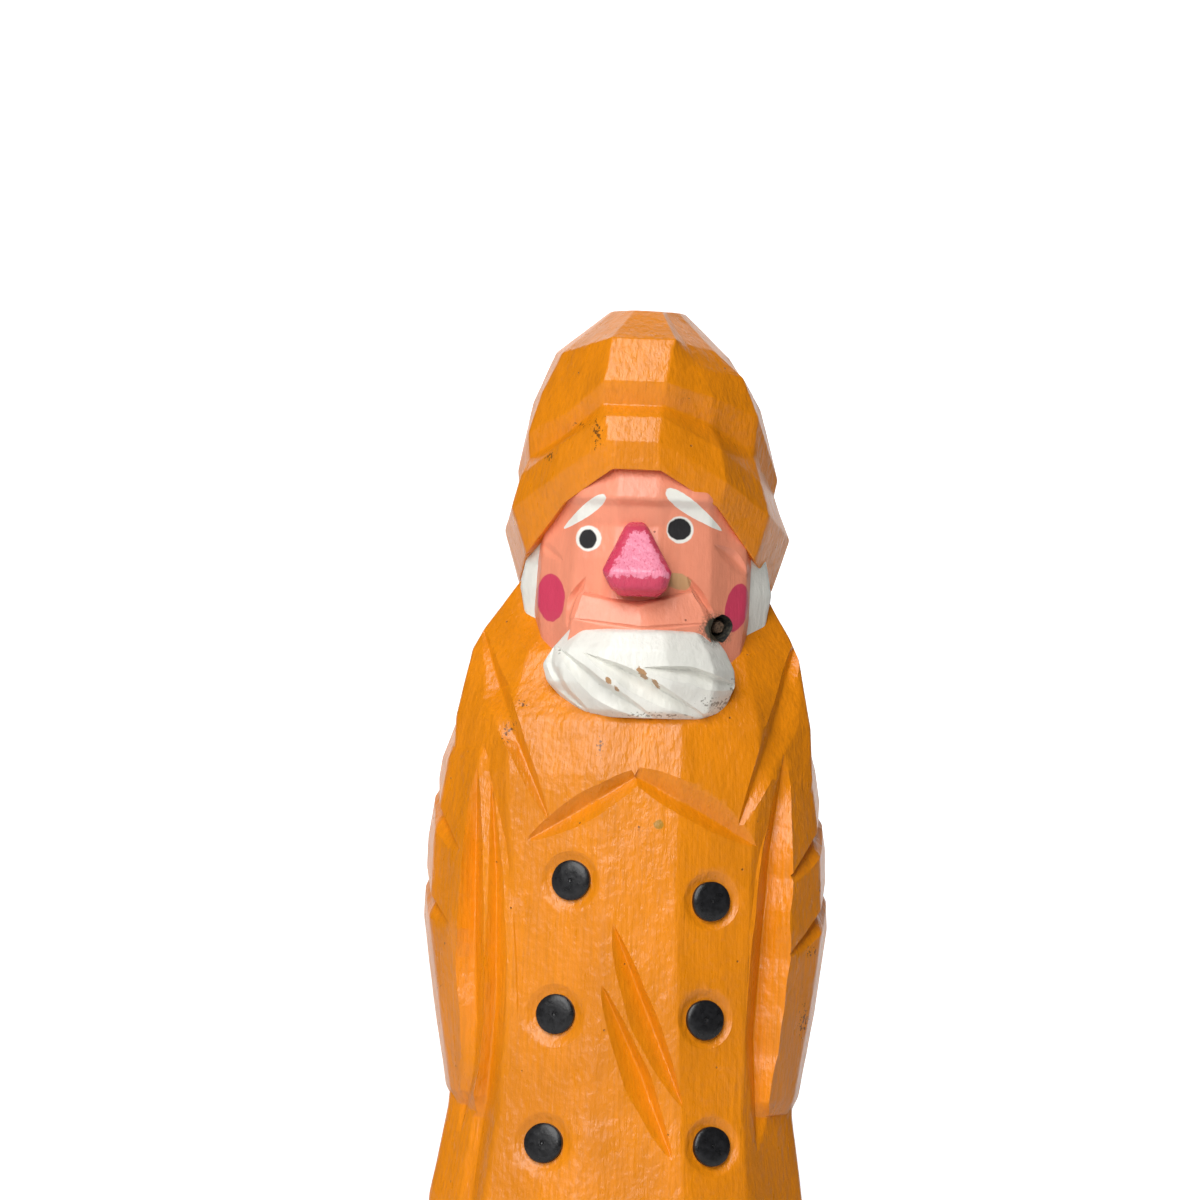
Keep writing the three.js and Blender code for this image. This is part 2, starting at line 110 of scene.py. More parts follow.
HAIR_PLAN = (
    (-0.3, -1, 0), (0.3, -1, 0), (0.8, -0.84, 0), (0.98, -0.56, 0), (1, 0.1, 0),
    (0.7, 1, 0), (-0.7, 1, 0), (-1, 0.1, 0), (-0.98, -0.6, 0), (-0.8, -0.86, 0),
)
BEARD_PLAN = (
    (-0.36, -1, 0), (0.3, -1, 0), (0.78, -0.66, 0), (1, 0, 0),
    (0.8, 1, 0), (-0.8, 1, 0), (-1, 0, 0), (-0.8, -0.6, 0),
)
ARM_PLAN = (
    (-0.55, -1, 0), (0.35, -0.82, 0), (0.88, -0.38, 0), (1, 0.12, 0),
    (0.72, 0.68, 0), (0, 1, 0), (-1, 0.6, 0), (-1, -0.6, 0),
)
NOSE_PLAN = (
    (-0.74, -1, 0), (0.74, -1, 0), (1, -0.76, 0), (1, 1, 0), (-1, 1, 0), (-1, -0.76, 0),
)
BOOT_PLAN = (
    (-0.45, -1, 0), (0.45, -1, 0), (0.95, -0.62, 0), (1, 0.5, 0),
    (0.6, 1, 0), (-0.6, 1, 0), (-1, 0.5, 0), (-0.95, -0.62, 0),
)

# The levels of each block, from the lowest: its limits in x and y, and its heights.
COAT_LEVELS = (
    ((-28.6, 29.0), (-25.6, 23.6), (HEM - 0.5, HEM + 0.5, HEM), (-8, 11)),
    ((-30.0, 30.2), (-27.2, 24.8), (HEM + 2,), (-8.4, 11.4)),
    ((-27.6, 27.6), (-24.6, 21.6), (73.5,), (-6.2, 9.9)),
    ((-25.3, 25.6), (-23.4, 20.4), (CUFF,), (-4.9, 9)),
    ((-24.4, 25.4), (-22.6, 19.4), (103,), (-3.2, 7.8)),
    ((-24.6, 25.6), (-21.6, 19), (122,), (-3.9, 7.1)),
    ((-26.4, 27), (-20.4, 18.6), (COLLAR_POINT,), (-4.6, 7.3)),
    ((-26.2, 26.4), (-19, 18.2), (144, 144, 145), (-4.8, 7.3)),
    ((-24.2, 24.4), (-15.2, 17.6), (150, 154, 154), (-5, 6)),
    ((-22.6, 23), (-13.2, 17), (154, 157, 158), (-5, 6)),
    ((-16.8, 18.2), (-9, 15.4), (160, 165.2, 164), (-4, 5)),
)
RIGHT_SLEEVE_LEVELS = (
    ((11.2, 23.8), (-18.4, 9), (CUFF - 1.4,)),
    ((11.6, 26), (-19, 11), (CUFF + 2.4,)),
    ((11.6, 28.3), (-19.2, 13.5), (102,)),
    ((12.4, 30.2), (-18.4, 15), (114,)),
    ((12, 29.9), (-17.2, 15.5), (126,)),
    ((11, 28.2), (-15.2, 14.5), (137.6,)),
    ((11, 23.4), (-8.5, 12), (152,)),
)
LEFT_SLEEVE_LEVELS = (
    ((11.4, 25.6), (-18.2, 10), (CUFF + 0.2,)),
    ((11.6, 26.6), (-18.8, 11), (CUFF + 2.4,)),
    ((11.4, 28.7), (-19.2, 13.5), (102,)),
    ((12.4, 30.1), (-18.4, 15), (114,)),
    ((12, 29.4), (-17.2, 15.5), (126,)),
    ((11, 27.6), (-15.2, 14.5), (137.6,)),
    ((11, 23.4), (-8.5, 12), (152,)),
)
FACE_LEVELS = (
    ((-12.6, 14), (-15.6, 12), (BEARD_LOW + 1.5,)),
    ((-14.9, 17), (-17.2, 13), (153.5,)),
    ((-15.9, 17.7), (-17.8, 14), (160,)),
    ((-16, 17.8), (-17.4, 14), (163,)),
    ((-15.7, 17.7), (-17.4, 14), (168,)),
    ((-15.2, 17.2), (-16.6, 14), (173,)),
    ((-14.9, 16.8), (-17.2, 14), (BROW - 1.2,)),
    ((-14.8, 16.6), (-18.3, 14), (BROW,)),
    ((-14.2, 15.8), (-16.6, 14), (181.5,)),
    ((-13, 14.5), (-14, 12), (187,)),
)
HAIR_LEVELS = (
    ((-14.6, 17.2), (-8.6, 14), (152,)),
    ((-16.4, 19.4), (-9.6, 16), (157,)),
    ((-17.7, 20.2), (-10, 17), (163.5,)),
    ((-16.2, 18.4), (-10, 17), (173,)),
)
NOSE_LEVELS = (
    ((-2.6, 3), (-20.4, -12), (162.6,)),
    ((-4.1, 4.2), (-22.6, -12), (163.8,)),
    ((-5.4, 4.9), (-23.2, -12), (166.2,)),
    ((-2.2, 1.1), (-18.6, -12), (172.9,)),
    ((-1.5, 0.5), (-16.4, -12), (173.6,)),
)
BEARD_LEVELS = (
    ((-7.8, 11.6), (-19.4, -8), (BEARD_LOW - 0.2,)),
    ((-9.4, 13.2), (-21, -8), (BEARD_LOW + 0.8,)),
    ((-13.1, 14.9), (-22.6, -8), (149.8,)),
    ((-13.7, 14.7), (-23, -8), (152.2,)),
    ((-12.2, 13.4), (-22.7, -8), (154.8,)),
    ((-10, 11.4), (-21.3, -8), (CHIN_TOP - 0.4,)),
    ((-9, 10.4), (-20.4, -8), (CHIN_TOP,)),
)
# The hat's levels run from under its brim, over the brim's edge, to the groove and the crown above it.
BRIM_LEVELS = (
    ((-14, 16.6), (-14.6, 18), (182.6, 178, 171, 167, 161), (-4.2, 2.8)),
    ((-17.6, 20.2), (-18.2, 22.6), (181.1, 176, 168.4, 164.3, 157), (-4.3, 2.8)),
    ((-20.1, 22.6), (-18.5, 24.8), (185.4, 179.9, 175.2, 171.8, 161.4), (-5.3, 2.3)),
    ((-18.9, 21), (-17.1, 22.8), (189, 184.6, 180, 175.6, 169), (-5.6, 2.6)),
)
CROWN_LEVELS = (
    ((-18.2, 20), (-15.3, 21.4), (190.7, 188.2, 184.2, 178.3, 174, 182.6, 186.2), (-6, 2.9)),
    ((-18.5, 20.5), (-16.2, 22.2), (194.2, 192.4, 190, 180.6, 176, 186.6, 189.4), (-6, 3.1)),
    ((-16.5, 17.6), (-15, 20), (197.4, 196.4, 195.6, 191, 188, 192.6, 194.6), (-5.4, 3.7)),
    ((-13.3, 12.6), (-13.7, 15.6), (200.6, 200.1, 199.3, 198.6, 197.4, 198.4, 199.6), (-5.1, 4.3)),
    ((-5.4, 5.7), (-6.2, 8.4), (HAT_TOP,), (-1.8, 2.2)),
)
FOOT_LEVELS = (
    ((0.5, 20.5), (-25.2, 16.5), (BASE_TOP - 1,)),
    ((0.5, 20.5), (-25.4, 16.5), (BASE_TOP + 3,)),
    ((1.1, 19.7), (-23.2, 16), (BASE_TOP + 8,)),
    ((2.1, 18.5), (-13, 15), (BASE_TOP + 13,)),
)
SHAFT_LEVELS = (
    ((0.9, 19.5), (-12, 16), (BASE_TOP + 5,)),
    ((0.5, 20.5), (-13.5, 15.5), (HEM - 6,)),
    ((0.5, 20.5), (-14, 15.5), (HEM + 4,)),
)
# The muzzle: a ridge under the nose, its four rings from the lowest: left end, ridge, right end, back.
MUZZLE = (
    ((-10.4, -17, 155), (1, -20.3, 155), (11.4, -16.8, 155), (0, -8, 155)),
    ((-9.5, -18.6, 159), (0.7, -20.9, 158), (10.6, -18.3, 159.1), (0, -8, 158)),
    ((-8.3, -17.3, 162.7), (0.2, -19.4, 161.2), (8.5, -16.9, 163.7), (0, -8, 162)),
    ((-7.4, -13.5, 163.6), (0.2, -15.5, 162.8), (7.6, -13, 164.6), (0, -8, 163)),
)

# V-gouges, laid out as seen: the valley's path, and the offsets of the two edges where it is widest. "swell"
# moves the widest place along the path, and "blunt" is the share of the boat cut off square at its start.
COLLAR_CUTS = (
    dict(path=((-22.9, 157.6), (-21, 152.1), (-17.3, 141.7), (-11.8, 129.4)), one=(-2, -0.4), two=(1.1, 0.3),
         deep=1.3),
    dict(path=((24.2, 158), (20.4, 143.6), (15.6, 128.4)), one=(-0.9, 0.3), two=(3.4, -0.8), deep=2, swell=0.8),
    dict(path=((0.6, 136.2), (-8, 130.6), (-15, 126.3)), one=(-1.1, 1.9), two=(1, -1.8), deep=1.7, blunt=0.14),
    dict(path=((0.4, 136.4), (10.2, 131.3), (18.9, 126.4)), one=(1.6, 2.8), two=(-0.9, -1.6), deep=1.8, blunt=0.12),
)
SKIRT_CUTS = (
    dict(path=((-2, 114.8), (2.4, 104.2), (5.6, 96.9), (9.2, 88.3)), one=(-2.5, -1), two=(1.1, 0.4), deep=1.8),
    dict(path=((-3.3, 105.8), (2.9, 92.8), (7.9, 80.6)), one=(-2.4, -1), two=(1.1, 0.5), deep=1.7),
)
SLEEVE_CUTS = (
    dict(path=((-22.7, 137.2), (-22.4, 124.6), (-22, 108.4), (-21.4, 99.6), (-21.6, 92.2), (-23.4, 82.5)),
         one=(-2.8, 0), two=(1.3, 0), deep=2.7),
    dict(path=((-20.5, 135.2), (-19.2, 120.3), (-18.7, 104), (-19.4, 89.4), (-20.7, 79), (-21.8, 68), (-22.8, 52)),
         one=(-1.9, 0), two=(1.6, 0), deep=1.7),
    dict(path=((22.5, 140.4), (20.7, 126), (19.8, 110), (19.2, 98), (20.3, 82)), one=(-1.4, 0), two=(4.4, 0),
         deep=3.8),
)
RIGHT_FOLD_LOOK = -40.0
RIGHT_FOLDS = (
    dict(path=((-26.5, 137.5), (-10.4, 124.4)), one=(-0.4, 0.9), two=(0.8, -4), deep=1.7, swell=0.75),
    dict(path=((-27.5, 123.5), (-11.6, 113.4)), one=(-0.4, 0.9), two=(0.8, -3.6), deep=1.5, swell=0.75),
)
LEFT_FOLD_LOOK = 40.0
LEFT_FOLDS = (
    dict(path=((27.5, 136), (8.2, 121.4)), one=(0.4, 1), two=(-0.8, -4), deep=1.9, swell=0.75),
    dict(path=((28, 124), (8.4, 110.6)), one=(0.4, 1), two=(-0.8, -3.6), deep=1.7, swell=0.75),
)
BEARD_CUTS = (
    dict(path=((-11.9, 157), (-12.3, 152.2), (-10.2, 148.5), (-6, 144.9)), one=(-1, 0), two=(0.6, 0.3), deep=1.1,
         swell=1.2),
    dict(path=((-11.8, 155), (-5.1, 149.6), (3, 144.9)), one=(-1.2, -1.7), two=(0.4, 0.7), deep=1.9, swell=1.1),
    dict(path=((-7.8, 154.2), (-1.9, 152), (2.4, 149.9), (10.8, 145.2)), one=(-1.1, -2), two=(0.3, 0.6), deep=2,
         swell=1.1),
    dict(path=((1, 152.3), (8.1, 152.1), (15.6, 149.8)), one=(-0.3, -2), two=(0.1, 0.6), deep=1.8, swell=1.1),
)
FACE_CUTS = (
    dict(path=((-7.6, 165.4), (-9.3, 161.6), (-10.2, 157.6)), one=(-0.9, 0.3), two=(0.7, 0), deep=0.9),
    dict(path=((7.2, 165.8), (9.2, 162.6), (11.6, 159.2)), one=(-0.8, 0), two=(0.9, 0.3), deep=0.9),
    dict(path=((11, 170.6), (13.8, 168.8), (16.6, 166)), one=(0.3, 1.1), two=(-0.3, -1.2), deep=0.9),
    dict(path=((-15, 170.4), (-13.2, 169), (-11.2, 167.6)), one=(0.2, 0.8), two=(-0.3, -0.9), deep=0.6),
    dict(path=((-10.2, 159.1), (0.8, 157.9), (12, 159.2)), one=(0, 0.4), two=(0, -0.5), deep=0.5),
)

# Marks in the paint: the middle across and up, and the half width and half height, in millimetres.
COAT_DIRT = (
    (-6.7, 186.4, 0.9, 2.4), (-13.6, 182.7, 0.8, 0.9), (-9.6, 187.6, 1.4, 0.6), (6.2, 192.2, 0.7, 0.5),
    (-18.3, 142.0, 1.2, 2.0), (-16.4, 146.1, 0.7, 0.9), (-4.8, 140.6, 0.6, 1.3), (26.9, 100.7, 1.3, 2.6),
    (27.6, 111.0, 1.2, 0.9), (1.6, 128.7, 0.7, 0.5), (-27.2, 104.0, 0.5, 0.6),
)
OLIVE_STAIN = (4.2, 129.4, 0.75, 0.7)
BEARD_CHIPS = ((1.0, 151.5, 1.3, 0.45), (3.0, 150.1, 0.9, 0.3), (-3.9, 150.2, 0.7, 0.35), (-2.6, 149.0, 0.5, 0.25))
# Dark specks on the beard: dirt, and painted shade where they lie on its right side and along its bottom edge.
BEARD_DIRT_AND_SHADE = ((12.2, 147.2, 3.0, 1.3), (3.5, 145.3, 7.0, 0.5), (-11.2, 154.2, 0.4, 0.5), (14.4, 149.4, 0.9, 1.6))
PIPE_MOUTH = (11.8, 158.2)


class CarvingSettings(bpy.types.PropertyGroup):
    """Sizes and colours of the carving."""

    facet_step: bpy.props.FloatProperty(
        name="Facet step", description="Distance between the surface's points on a flat facet",
        default=1.1 * MM, unit="LENGTH")
    arris: bpy.props.FloatProperty(
        name="Arris", description="Radius to which paint and handling have rounded the edges between facets",
        default=0.45 * MM, unit="LENGTH")
    valley: bpy.props.FloatProperty(
        name="Valley", description="Radius at the bottom of each V-gouge",
        default=0.26 * MM, unit="LENGTH")
    waver: bpy.props.FloatProperty(
        name="Waver", description="Height of the knife's unevenness on the facets",
        default=0.07 * MM, unit="LENGTH")
    coat: bpy.props.FloatVectorProperty(
        name="Coat", description="Orange of the oilskin and the sou'wester",
        subtype="COLOR", size=4, default=(0.80, 0.245, 0.002, 1))
    flesh: bpy.props.FloatVectorProperty(
        name="Flesh", description="Paint of the face", subtype="COLOR", size=4, default=(0.90, 0.31, 0.185, 1))
    white: bpy.props.FloatVectorProperty(
        name="White", description="Paint of the beard, side hair, brows and eyes",
        subtype="COLOR", size=4, default=(0.84, 0.83, 0.76, 1))
    rose: bpy.props.FloatVectorProperty(
        name="Rose", description="Paint of the nose and cheeks", subtype="COLOR", size=4,
        default=(0.66, 0.055, 0.12, 1))
    black: bpy.props.FloatVectorProperty(
        name="Black", description="Paint of the buttons, eyes and boots", subtype="COLOR", size=4,
        default=(0.008, 0.008, 0.009, 1))
    base: bpy.props.FloatVectorProperty(
        name="Base", description="Stain of the low base", subtype="COLOR", size=4,
        default=(0.09, 0.045, 0.02, 1))


class StemSettings(bpy.types.PropertyGroup):
    """Sizes and colour of the broken pipe stem."""

    radius: bpy.props.FloatProperty(
        name="Radius", description="Radius of the stem", default=STEM_RADIUS * MM, unit="LENGTH")
    length: bpy.props.FloatProperty(
        name="Length", description="Length of the piece left in the hole", default=STEM_LONG * MM, unit="LENGTH")
    wood: bpy.props.FloatVectorProperty(
        name="Wood", description="Dirty end grain of the broken stem", subtype="COLOR", size=4,
        default=(0.17, 0.105, 0.065, 1))


class StudioSettings(bpy.types.PropertyGroup):
    """The camera, the lights and the paper sweep."""

    distance: bpy.props.FloatProperty(
        name="Camera distance", description="From the camera to the middle of the figure",
        default=1.0, unit="LENGTH")
    aim_x: bpy.props.FloatProperty(
        name="Aim across", description="Where the middle of the picture falls, across the figure",
        default=-5.5 * MM, unit="LENGTH")
    aim_z: bpy.props.FloatProperty(
        name="Aim height", description="Where the middle of the picture falls, above the floor",
        default=161.9 * MM, unit="LENGTH")
    roll: bpy.props.FloatProperty(
        name="Roll", description="How far the figure leans in the picture",
        default=math.radians(2.0), subtype="ANGLE")
    picture: bpy.props.FloatProperty(
        name="Picture height", description="Height of the picture at the front of the figure",
        default=176.4 * MM, unit="LENGTH")
    key: bpy.props.FloatProperty(
        name="Key light", description="Power of the large soft light", default=18.0, unit="POWER")
    key_azimuth: bpy.props.FloatProperty(
        name="Key azimuth", description="Where the large soft light stands, from the front to his left",
        default=math.radians(-17.0), subtype="ANGLE")
    key_height: bpy.props.FloatProperty(
        name="Key height", description="How high the large soft light stands",
        default=math.radians(34.0), subtype="ANGLE")
    side: bpy.props.FloatProperty(
        name="Side light", description="Power of the weak light from his right", default=0.4, unit="POWER")
    fill: bpy.props.FloatProperty(
        name="Fill", description="Strength of the light from the room", default=0.06, min=0.0)


def ring(plan, x, y, heights, front=None):
    """The plan stretched between the limits in x and y, each corner at the height that its index names. Where
    front is given, it says how far across the first two corners lie."""
    fx, fy, which = np.array(plan, float).T
    x, y, z = np.array(x, float), np.array(y, float), np.array(heights, float)
    corners = np.stack([
        x.mean() + fx * np.ptp(x) / 2,
        y.mean() + fy * np.ptp(y) / 2,
        z[np.minimum(which.astype(int), len(z) - 1)],
    ], axis=1)
    if front is not None:
        corners[:2, 0] = front
    return corners


def net_of(plan, levels):
    """A block's control net: its rings from the lowest, as an array of levels by corners by three."""
    return np.array([ring(plan, *level) for level in levels])


def mirrored(net):
    """The net on the other side of the middle plane, with its corners turned to run the same way round."""
    return (net * (-1, 1, 1))[:, ::-1]


def eased_weights(lengths, spacing, ease, closed):
    """How much of each corner a station takes. A station on the line between two corners is their straight mix,
    and the mix is then averaged over a stretch of twice ease, which rounds every corner to about that radius."""
    knots = np.concatenate([[0.0], np.cumsum(lengths)])
    stretches = []
    for start, long in zip(knots, lengths):
        near = min(ease, 0.3 * long)
        count = max(1, round((long - 2 * near) / spacing))
        flat = np.linspace(near, long - near, count + 1)
        stretches.append(start + np.concatenate([[0.0, near / 2], flat, [long - near / 2]]))
    stations = np.concatenate(stretches + ([] if closed else [knots[-1:]]))
    taps = ease * ((np.arange(EASE_TAPS) + 0.5) * 2 / EASE_TAPS - 1)
    s = stations[:, None] + taps
    if closed:
        s = s % knots[-1]
    k = np.clip(np.searchsorted(knots, s, side="right") - 1, 0, len(lengths) - 1)
    share = (s - knots[k]) / np.asarray(lengths)[k]
    corners = len(lengths) if closed else len(lengths) + 1
    weights = np.zeros((len(stations), corners))
    row = np.repeat(np.arange(len(stations)), EASE_TAPS)
    np.add.at(weights, (row, k.ravel()), (1 - share).ravel() / EASE_TAPS)
    np.add.at(weights, (row, (k.ravel() + 1) % corners), share.ravel() / EASE_TAPS)
    return weights


def capped(net, share=0.55):
    """The net with a smaller ring inside its lowest and its highest ring, so that their rims get rounded too."""
    inner = [net[row].mean(0) + share * (net[row] - net[row].mean(0)) for row in (0, -1)]
    return np.concatenate([inner[:1], net, inner[1:]])


def tube_faces(rows, columns):
    """Quads between the rows of a grid that closes round, and a fan from each end row to its pole. The poles'
    numbers follow the grid's."""
    i, j = np.meshgrid(np.arange(rows - 1), np.arange(columns), indexing="ij")
    a, b = i * columns + j, i * columns + (j + 1) % columns
    quads = np.stack([a, b, b + columns, a + columns], axis=-1).reshape(-1, 4)
    k = np.arange(columns)
    low = np.stack([(k + 1) % columns, k, np.full(columns, rows * columns)], axis=1)
    top = (rows - 1) * columns
    high = np.stack([top + k, top + (k + 1) % columns, np.full(columns, rows * columns + 1)], axis=1)
    return quads, np.concatenate([low, high])


def grid_normals(grid):
    """Unit normals of a grid that closes round, from the differences of its neighbours both ways."""
    around = np.roll(grid, -1, axis=1) - np.roll(grid, 1, axis=1)
    along = np.gradient(grid, axis=0)
    normal = np.cross(around, along)
    return normal / np.maximum(np.linalg.norm(normal, axis=2, keepdims=True), 1e-12)


def knife_waver(points, size, seed):
    """The unevenness that the knife leaves: the mean of twelve sine waves of about the size given, in seeded
    directions, from -1 to 1."""
    draw = np.random.default_rng(seed)
    ways = draw.normal(size=(12, 3))
    ways *= 2 * math.pi / (size * draw.uniform(0.6, 1.8, (12, 1))) / np.linalg.norm(ways, axis=1, keepdims=True)
    shifts = draw.uniform(0, 2 * math.pi, 12)
    return np.sin(points @ ways.T + shifts).mean(axis=-1) * 2


def lofted(net, spacing, ease, waver=0.0, seed=1, poles=None):
    """A closed surface over a control net: at each point (v up, u round) the corners are mixed by the eased
    weights of v and of u, and the point then moves along its normal by the knife's waver."""
    if poles is None:
        net = capped(net)
    up = np.linalg.norm(np.diff(net, axis=0), axis=2).mean(1)
    round_ = np.linalg.norm(np.roll(net, -1, axis=1) - net, axis=2).mean(0)
    wv = eased_weights(up, spacing, ease, False)
    wu = eased_weights(round_, spacing, ease, True)
    grid = np.einsum("am,bn,mnx->abx", wv, wu, net)
    if waver:
        height = 0.7 * knife_waver(grid, 9.0, seed) + 0.45 * knife_waver(grid, 3.4, seed + 50)
        grid = grid + grid_normals(grid) * (height * waver)[..., None]
    ends = np.array([grid[0].mean(0), grid[-1].mean(0)]) if poles is None else np.array(poles)
    rows, columns = grid.shape[:2]
    return np.concatenate([grid.reshape(-1, 3), ends]), tube_faces(rows, columns)


def volume_of(points, faces):
    """The volume inside a closed mesh, negative where its faces point inwards."""
    total = 0.0
    for group in faces:
        for k in range(1, group.shape[1] - 1):
            a, b, c = points[group[:, 0]], points[group[:, k]], points[group[:, k + 1]]
            total += np.einsum("ij,ij->", a, np.cross(b, c)) / 6
    return total


def mesh_object(name, surface, paint):
    """An object of a surface given in millimetres, its faces turned outwards and marked with their paint."""
    points, faces = surface
    if volume_of(points, faces) < 0:
        faces = [group[:, ::-1] for group in faces]
    data = bpy.data.meshes.new(name)
    data.from_pydata((points * MM).tolist(), [], [face for group in faces for face in group.tolist()])
    mark = data.attributes.new("paint", "INT", "FACE")
    mark.data.foreach_set("value", np.full(len(data.polygons), PAINTS.index(paint), dtype=np.int32))
    made = bpy.data.objects.new(name, data)
    bpy.context.scene.collection.objects.link(made)
    return made


def combine(first, operation, others):
    """The first object joined with the others or cut by them, as a new object. All of them are used up."""
    group = bpy.data.collections.new("operands")
    for other in others:
        group.objects.link(other)
    step = first.modifiers.new(operation, "BOOLEAN")
    step.operation = operation
    step.operand_type = "COLLECTION"
    step.collection = group
    step.solver = "MANIFOLD"
    graph = bpy.context.evaluated_depsgraph_get()
    data = bpy.data.meshes.new_from_object(first.evaluated_get(graph), depsgraph=graph)
    name = first.name
    for used in [first, *others]:
        bpy.data.objects.remove(used)
    bpy.data.collections.remove(group)
    if not data.polygons:
        raise RuntimeError(f"{operation} left nothing of {name}")
    made = bpy.data.objects.new(name, data)
    bpy.context.scene.collection.objects.link(made)
    return made


def join(first, *others):
    return combine(first, "UNION", others)


def cut(first, *others):
    return combine(first, "DIFFERENCE", others)


def facets(net):
    """The flat triangles of a net's sides, as an array of triangles by corners by three."""
    a, b = net[:-1], np.roll(net, -1, axis=1)[:-1]
    c, d = np.roll(net, -1, axis=1)[1:], net[1:]
    sides = np.stack([np.stack([a, b, c], axis=2), np.stack([a, c, d], axis=2)])
    return sides.reshape(-1, 3, 3)


def look(azimuth):
    """The ways into the picture and to its right, for a look from that azimuth: 0 is the front, 90 his left."""
    a = math.radians(azimuth)
    return np.array([-math.sin(a), math.cos(a), 0]), np.array([math.cos(a), math.sin(a), 0])


def first_depth(spots, triangles, azimuth):
    """How deep the nearest facet lies behind each spot [s, z] of a look, or infinity past the outline: each
    triangle's depth at the spot's barycentric coordinates, where those are all positive."""
    into, right = look(azimuth)
    flat = np.stack([triangles @ right, triangles[..., 2]], axis=-1)
    deep = triangles @ into
    e1, e2 = flat[:, 1] - flat[:, 0], flat[:, 2] - flat[:, 0]
    area = e1[:, 0] * e2[:, 1] - e1[:, 1] * e2[:, 0]
    away = spots[:, None] - flat[None, :, 0]
    with np.errstate(divide="ignore", invalid="ignore"):
        b = (away[..., 0] * e2[:, 1] - away[..., 1] * e2[:, 0]) / area
        c = (e1[:, 0] * away[..., 1] - e1[:, 1] * away[..., 0]) / area
    inside = (b >= -1e-9) & (c >= -1e-9) & (b + c <= 1 + 1e-9)
    depth = deep[:, 0] + b * (deep[:, 1] - deep[:, 0]) + c * (deep[:, 2] - deep[:, 0])
    return np.where(inside, depth, np.inf).min(axis=1)


def on_wood(spots, triangles, azimuth):
    """The points of the wood under the spots of a look. Past the outline they go on as deep as at the outline."""
    spots = np.asarray(spots, float)
    depth = first_depth(spots, triangles, azimuth)
    reach = 1.0
    while np.isinf(depth).any() and reach > 0:
        reach -= 0.02
        nearer = first_depth(spots * (reach, 1), triangles, azimuth)
        depth = np.where(np.isinf(depth), nearer, depth)
    into, right = look(azimuth)
    return spots[:, :1] * right + depth[:, None] * into + spots[:, 1:] * (0, 0, 1)


def along(path, t):
    """The points at shares t of a path's length."""
    path = np.array(path, float)
    reached = np.concatenate([[0.0], np.cumsum(np.linalg.norm(np.diff(path, axis=0), axis=1))])
    return np.stack([np.interp(t * reached[-1], reached, path[:, axis]) for axis in (0, 1)], axis=1)


def gouge(triangles, azimuth, valley_radius, seed, path, one, two, deep, swell=1.0, blunt=0.0, stations=26):
    """The boat-shaped wedge that a V-tool takes out. Its section at a share t of the path is a triangle: the
    valley, as deep as sin(pi t)^0.75 of the full depth, and two corners beyond the cut's edges on the wood."""
    t = np.linspace(0, 1, stations)[0 if blunt else 1:-1]
    full = (np.sin(math.pi * (blunt + (1 - blunt) * t ** swell)) ** 0.75)[:, None]
    line = along(path, t)
    uneven = knife_waver(np.concatenate([line, 0 * full], axis=1), 7.0, 90 + seed)[:, None]
    into = look(azimuth)[0]
    valley = on_wood(line, triangles, azimuth) + deep * full * (1 + 0.08 * uneven) * into
    edges = [on_wood(line + np.array(side) * full * (1 + 0.1 * uneven), triangles, azimuth) for side in (one, two)]
    raised = [valley + CUTTER_RISE * (edge - valley) for edge in edges]
    net = np.stack([raised[0], valley, raised[1]], axis=1)
    tips = on_wood(np.array([path[0], path[-1]]), triangles, azimuth)
    if blunt:
        tips[0] = net[0].mean(0)
    return lofted(net, 0.9, valley_radius, poles=tips)


def gouges(cuts, triangles, azimuth, valley_radius, paint):
    """The wedges of a list of cuts, as objects."""
    return [
        mesh_object("gouge", gouge(triangles, azimuth, valley_radius, number, **each), paint)
        for number, each in enumerate(cuts)
    ]


def turned(profile, sides, point, out, ripple=0.0, seed=3):
    """A profile of [radius, height] turned about the line through a point along out. Where a ripple is given,
    each radius varies round the turn by that share. The profile closes on itself or on the axis."""
    profile = np.array(profile, float)
    angle = np.linspace(0, 2 * math.pi, sides, endpoint=False)
    draw = np.random.default_rng(seed)
    waves = np.arange(2, 9)
    uneven = (np.sin(np.outer(angle, waves) + draw.uniform(0, 6.28, len(waves))) * draw.normal(size=len(waves)) / waves)
    radius = profile[:, :1] * (1 + ripple * uneven.sum(1))
    out = np.array(out, float) / np.linalg.norm(out)
    side = np.cross(out, (0.0, 0.0, 1.0))
    side /= np.linalg.norm(side)
    up = np.cross(side, out)
    round_ = np.cos(angle)[:, None] * side + np.sin(angle)[:, None] * up
    grid = np.array(point) + radius[..., None] * round_ + profile[:, 1][:, None, None] * out
    return grid


def turned_solid(profile, sides, point, out, ripple=0.0, seed=3):
    """A turned surface closed by a pole at each end of its profile."""
    grid = turned(profile, sides, point, out, ripple, seed)
    poles = np.array([grid[0].mean(0), grid[-1].mean(0)])
    return np.concatenate([grid.reshape(-1, 3), poles]), tube_faces(*grid.shape[:2])


def turned_ring(profile, sides, point, out):
    """A turned surface whose profile closes on itself, as a ring has."""
    grid = turned(profile, sides, point, out)
    rows, columns = grid.shape[:2]
    i, j = np.meshgrid(np.arange(rows), np.arange(columns), indexing="ij")
    a, b = i * columns + j, i * columns + (j + 1) % columns
    c, d = ((i + 1) % rows) * columns + (j + 1) % columns, ((i + 1) % rows) * columns + j
    return grid.reshape(-1, 3), [np.stack([a, b, c, d], axis=-1).reshape(-1, 4)]


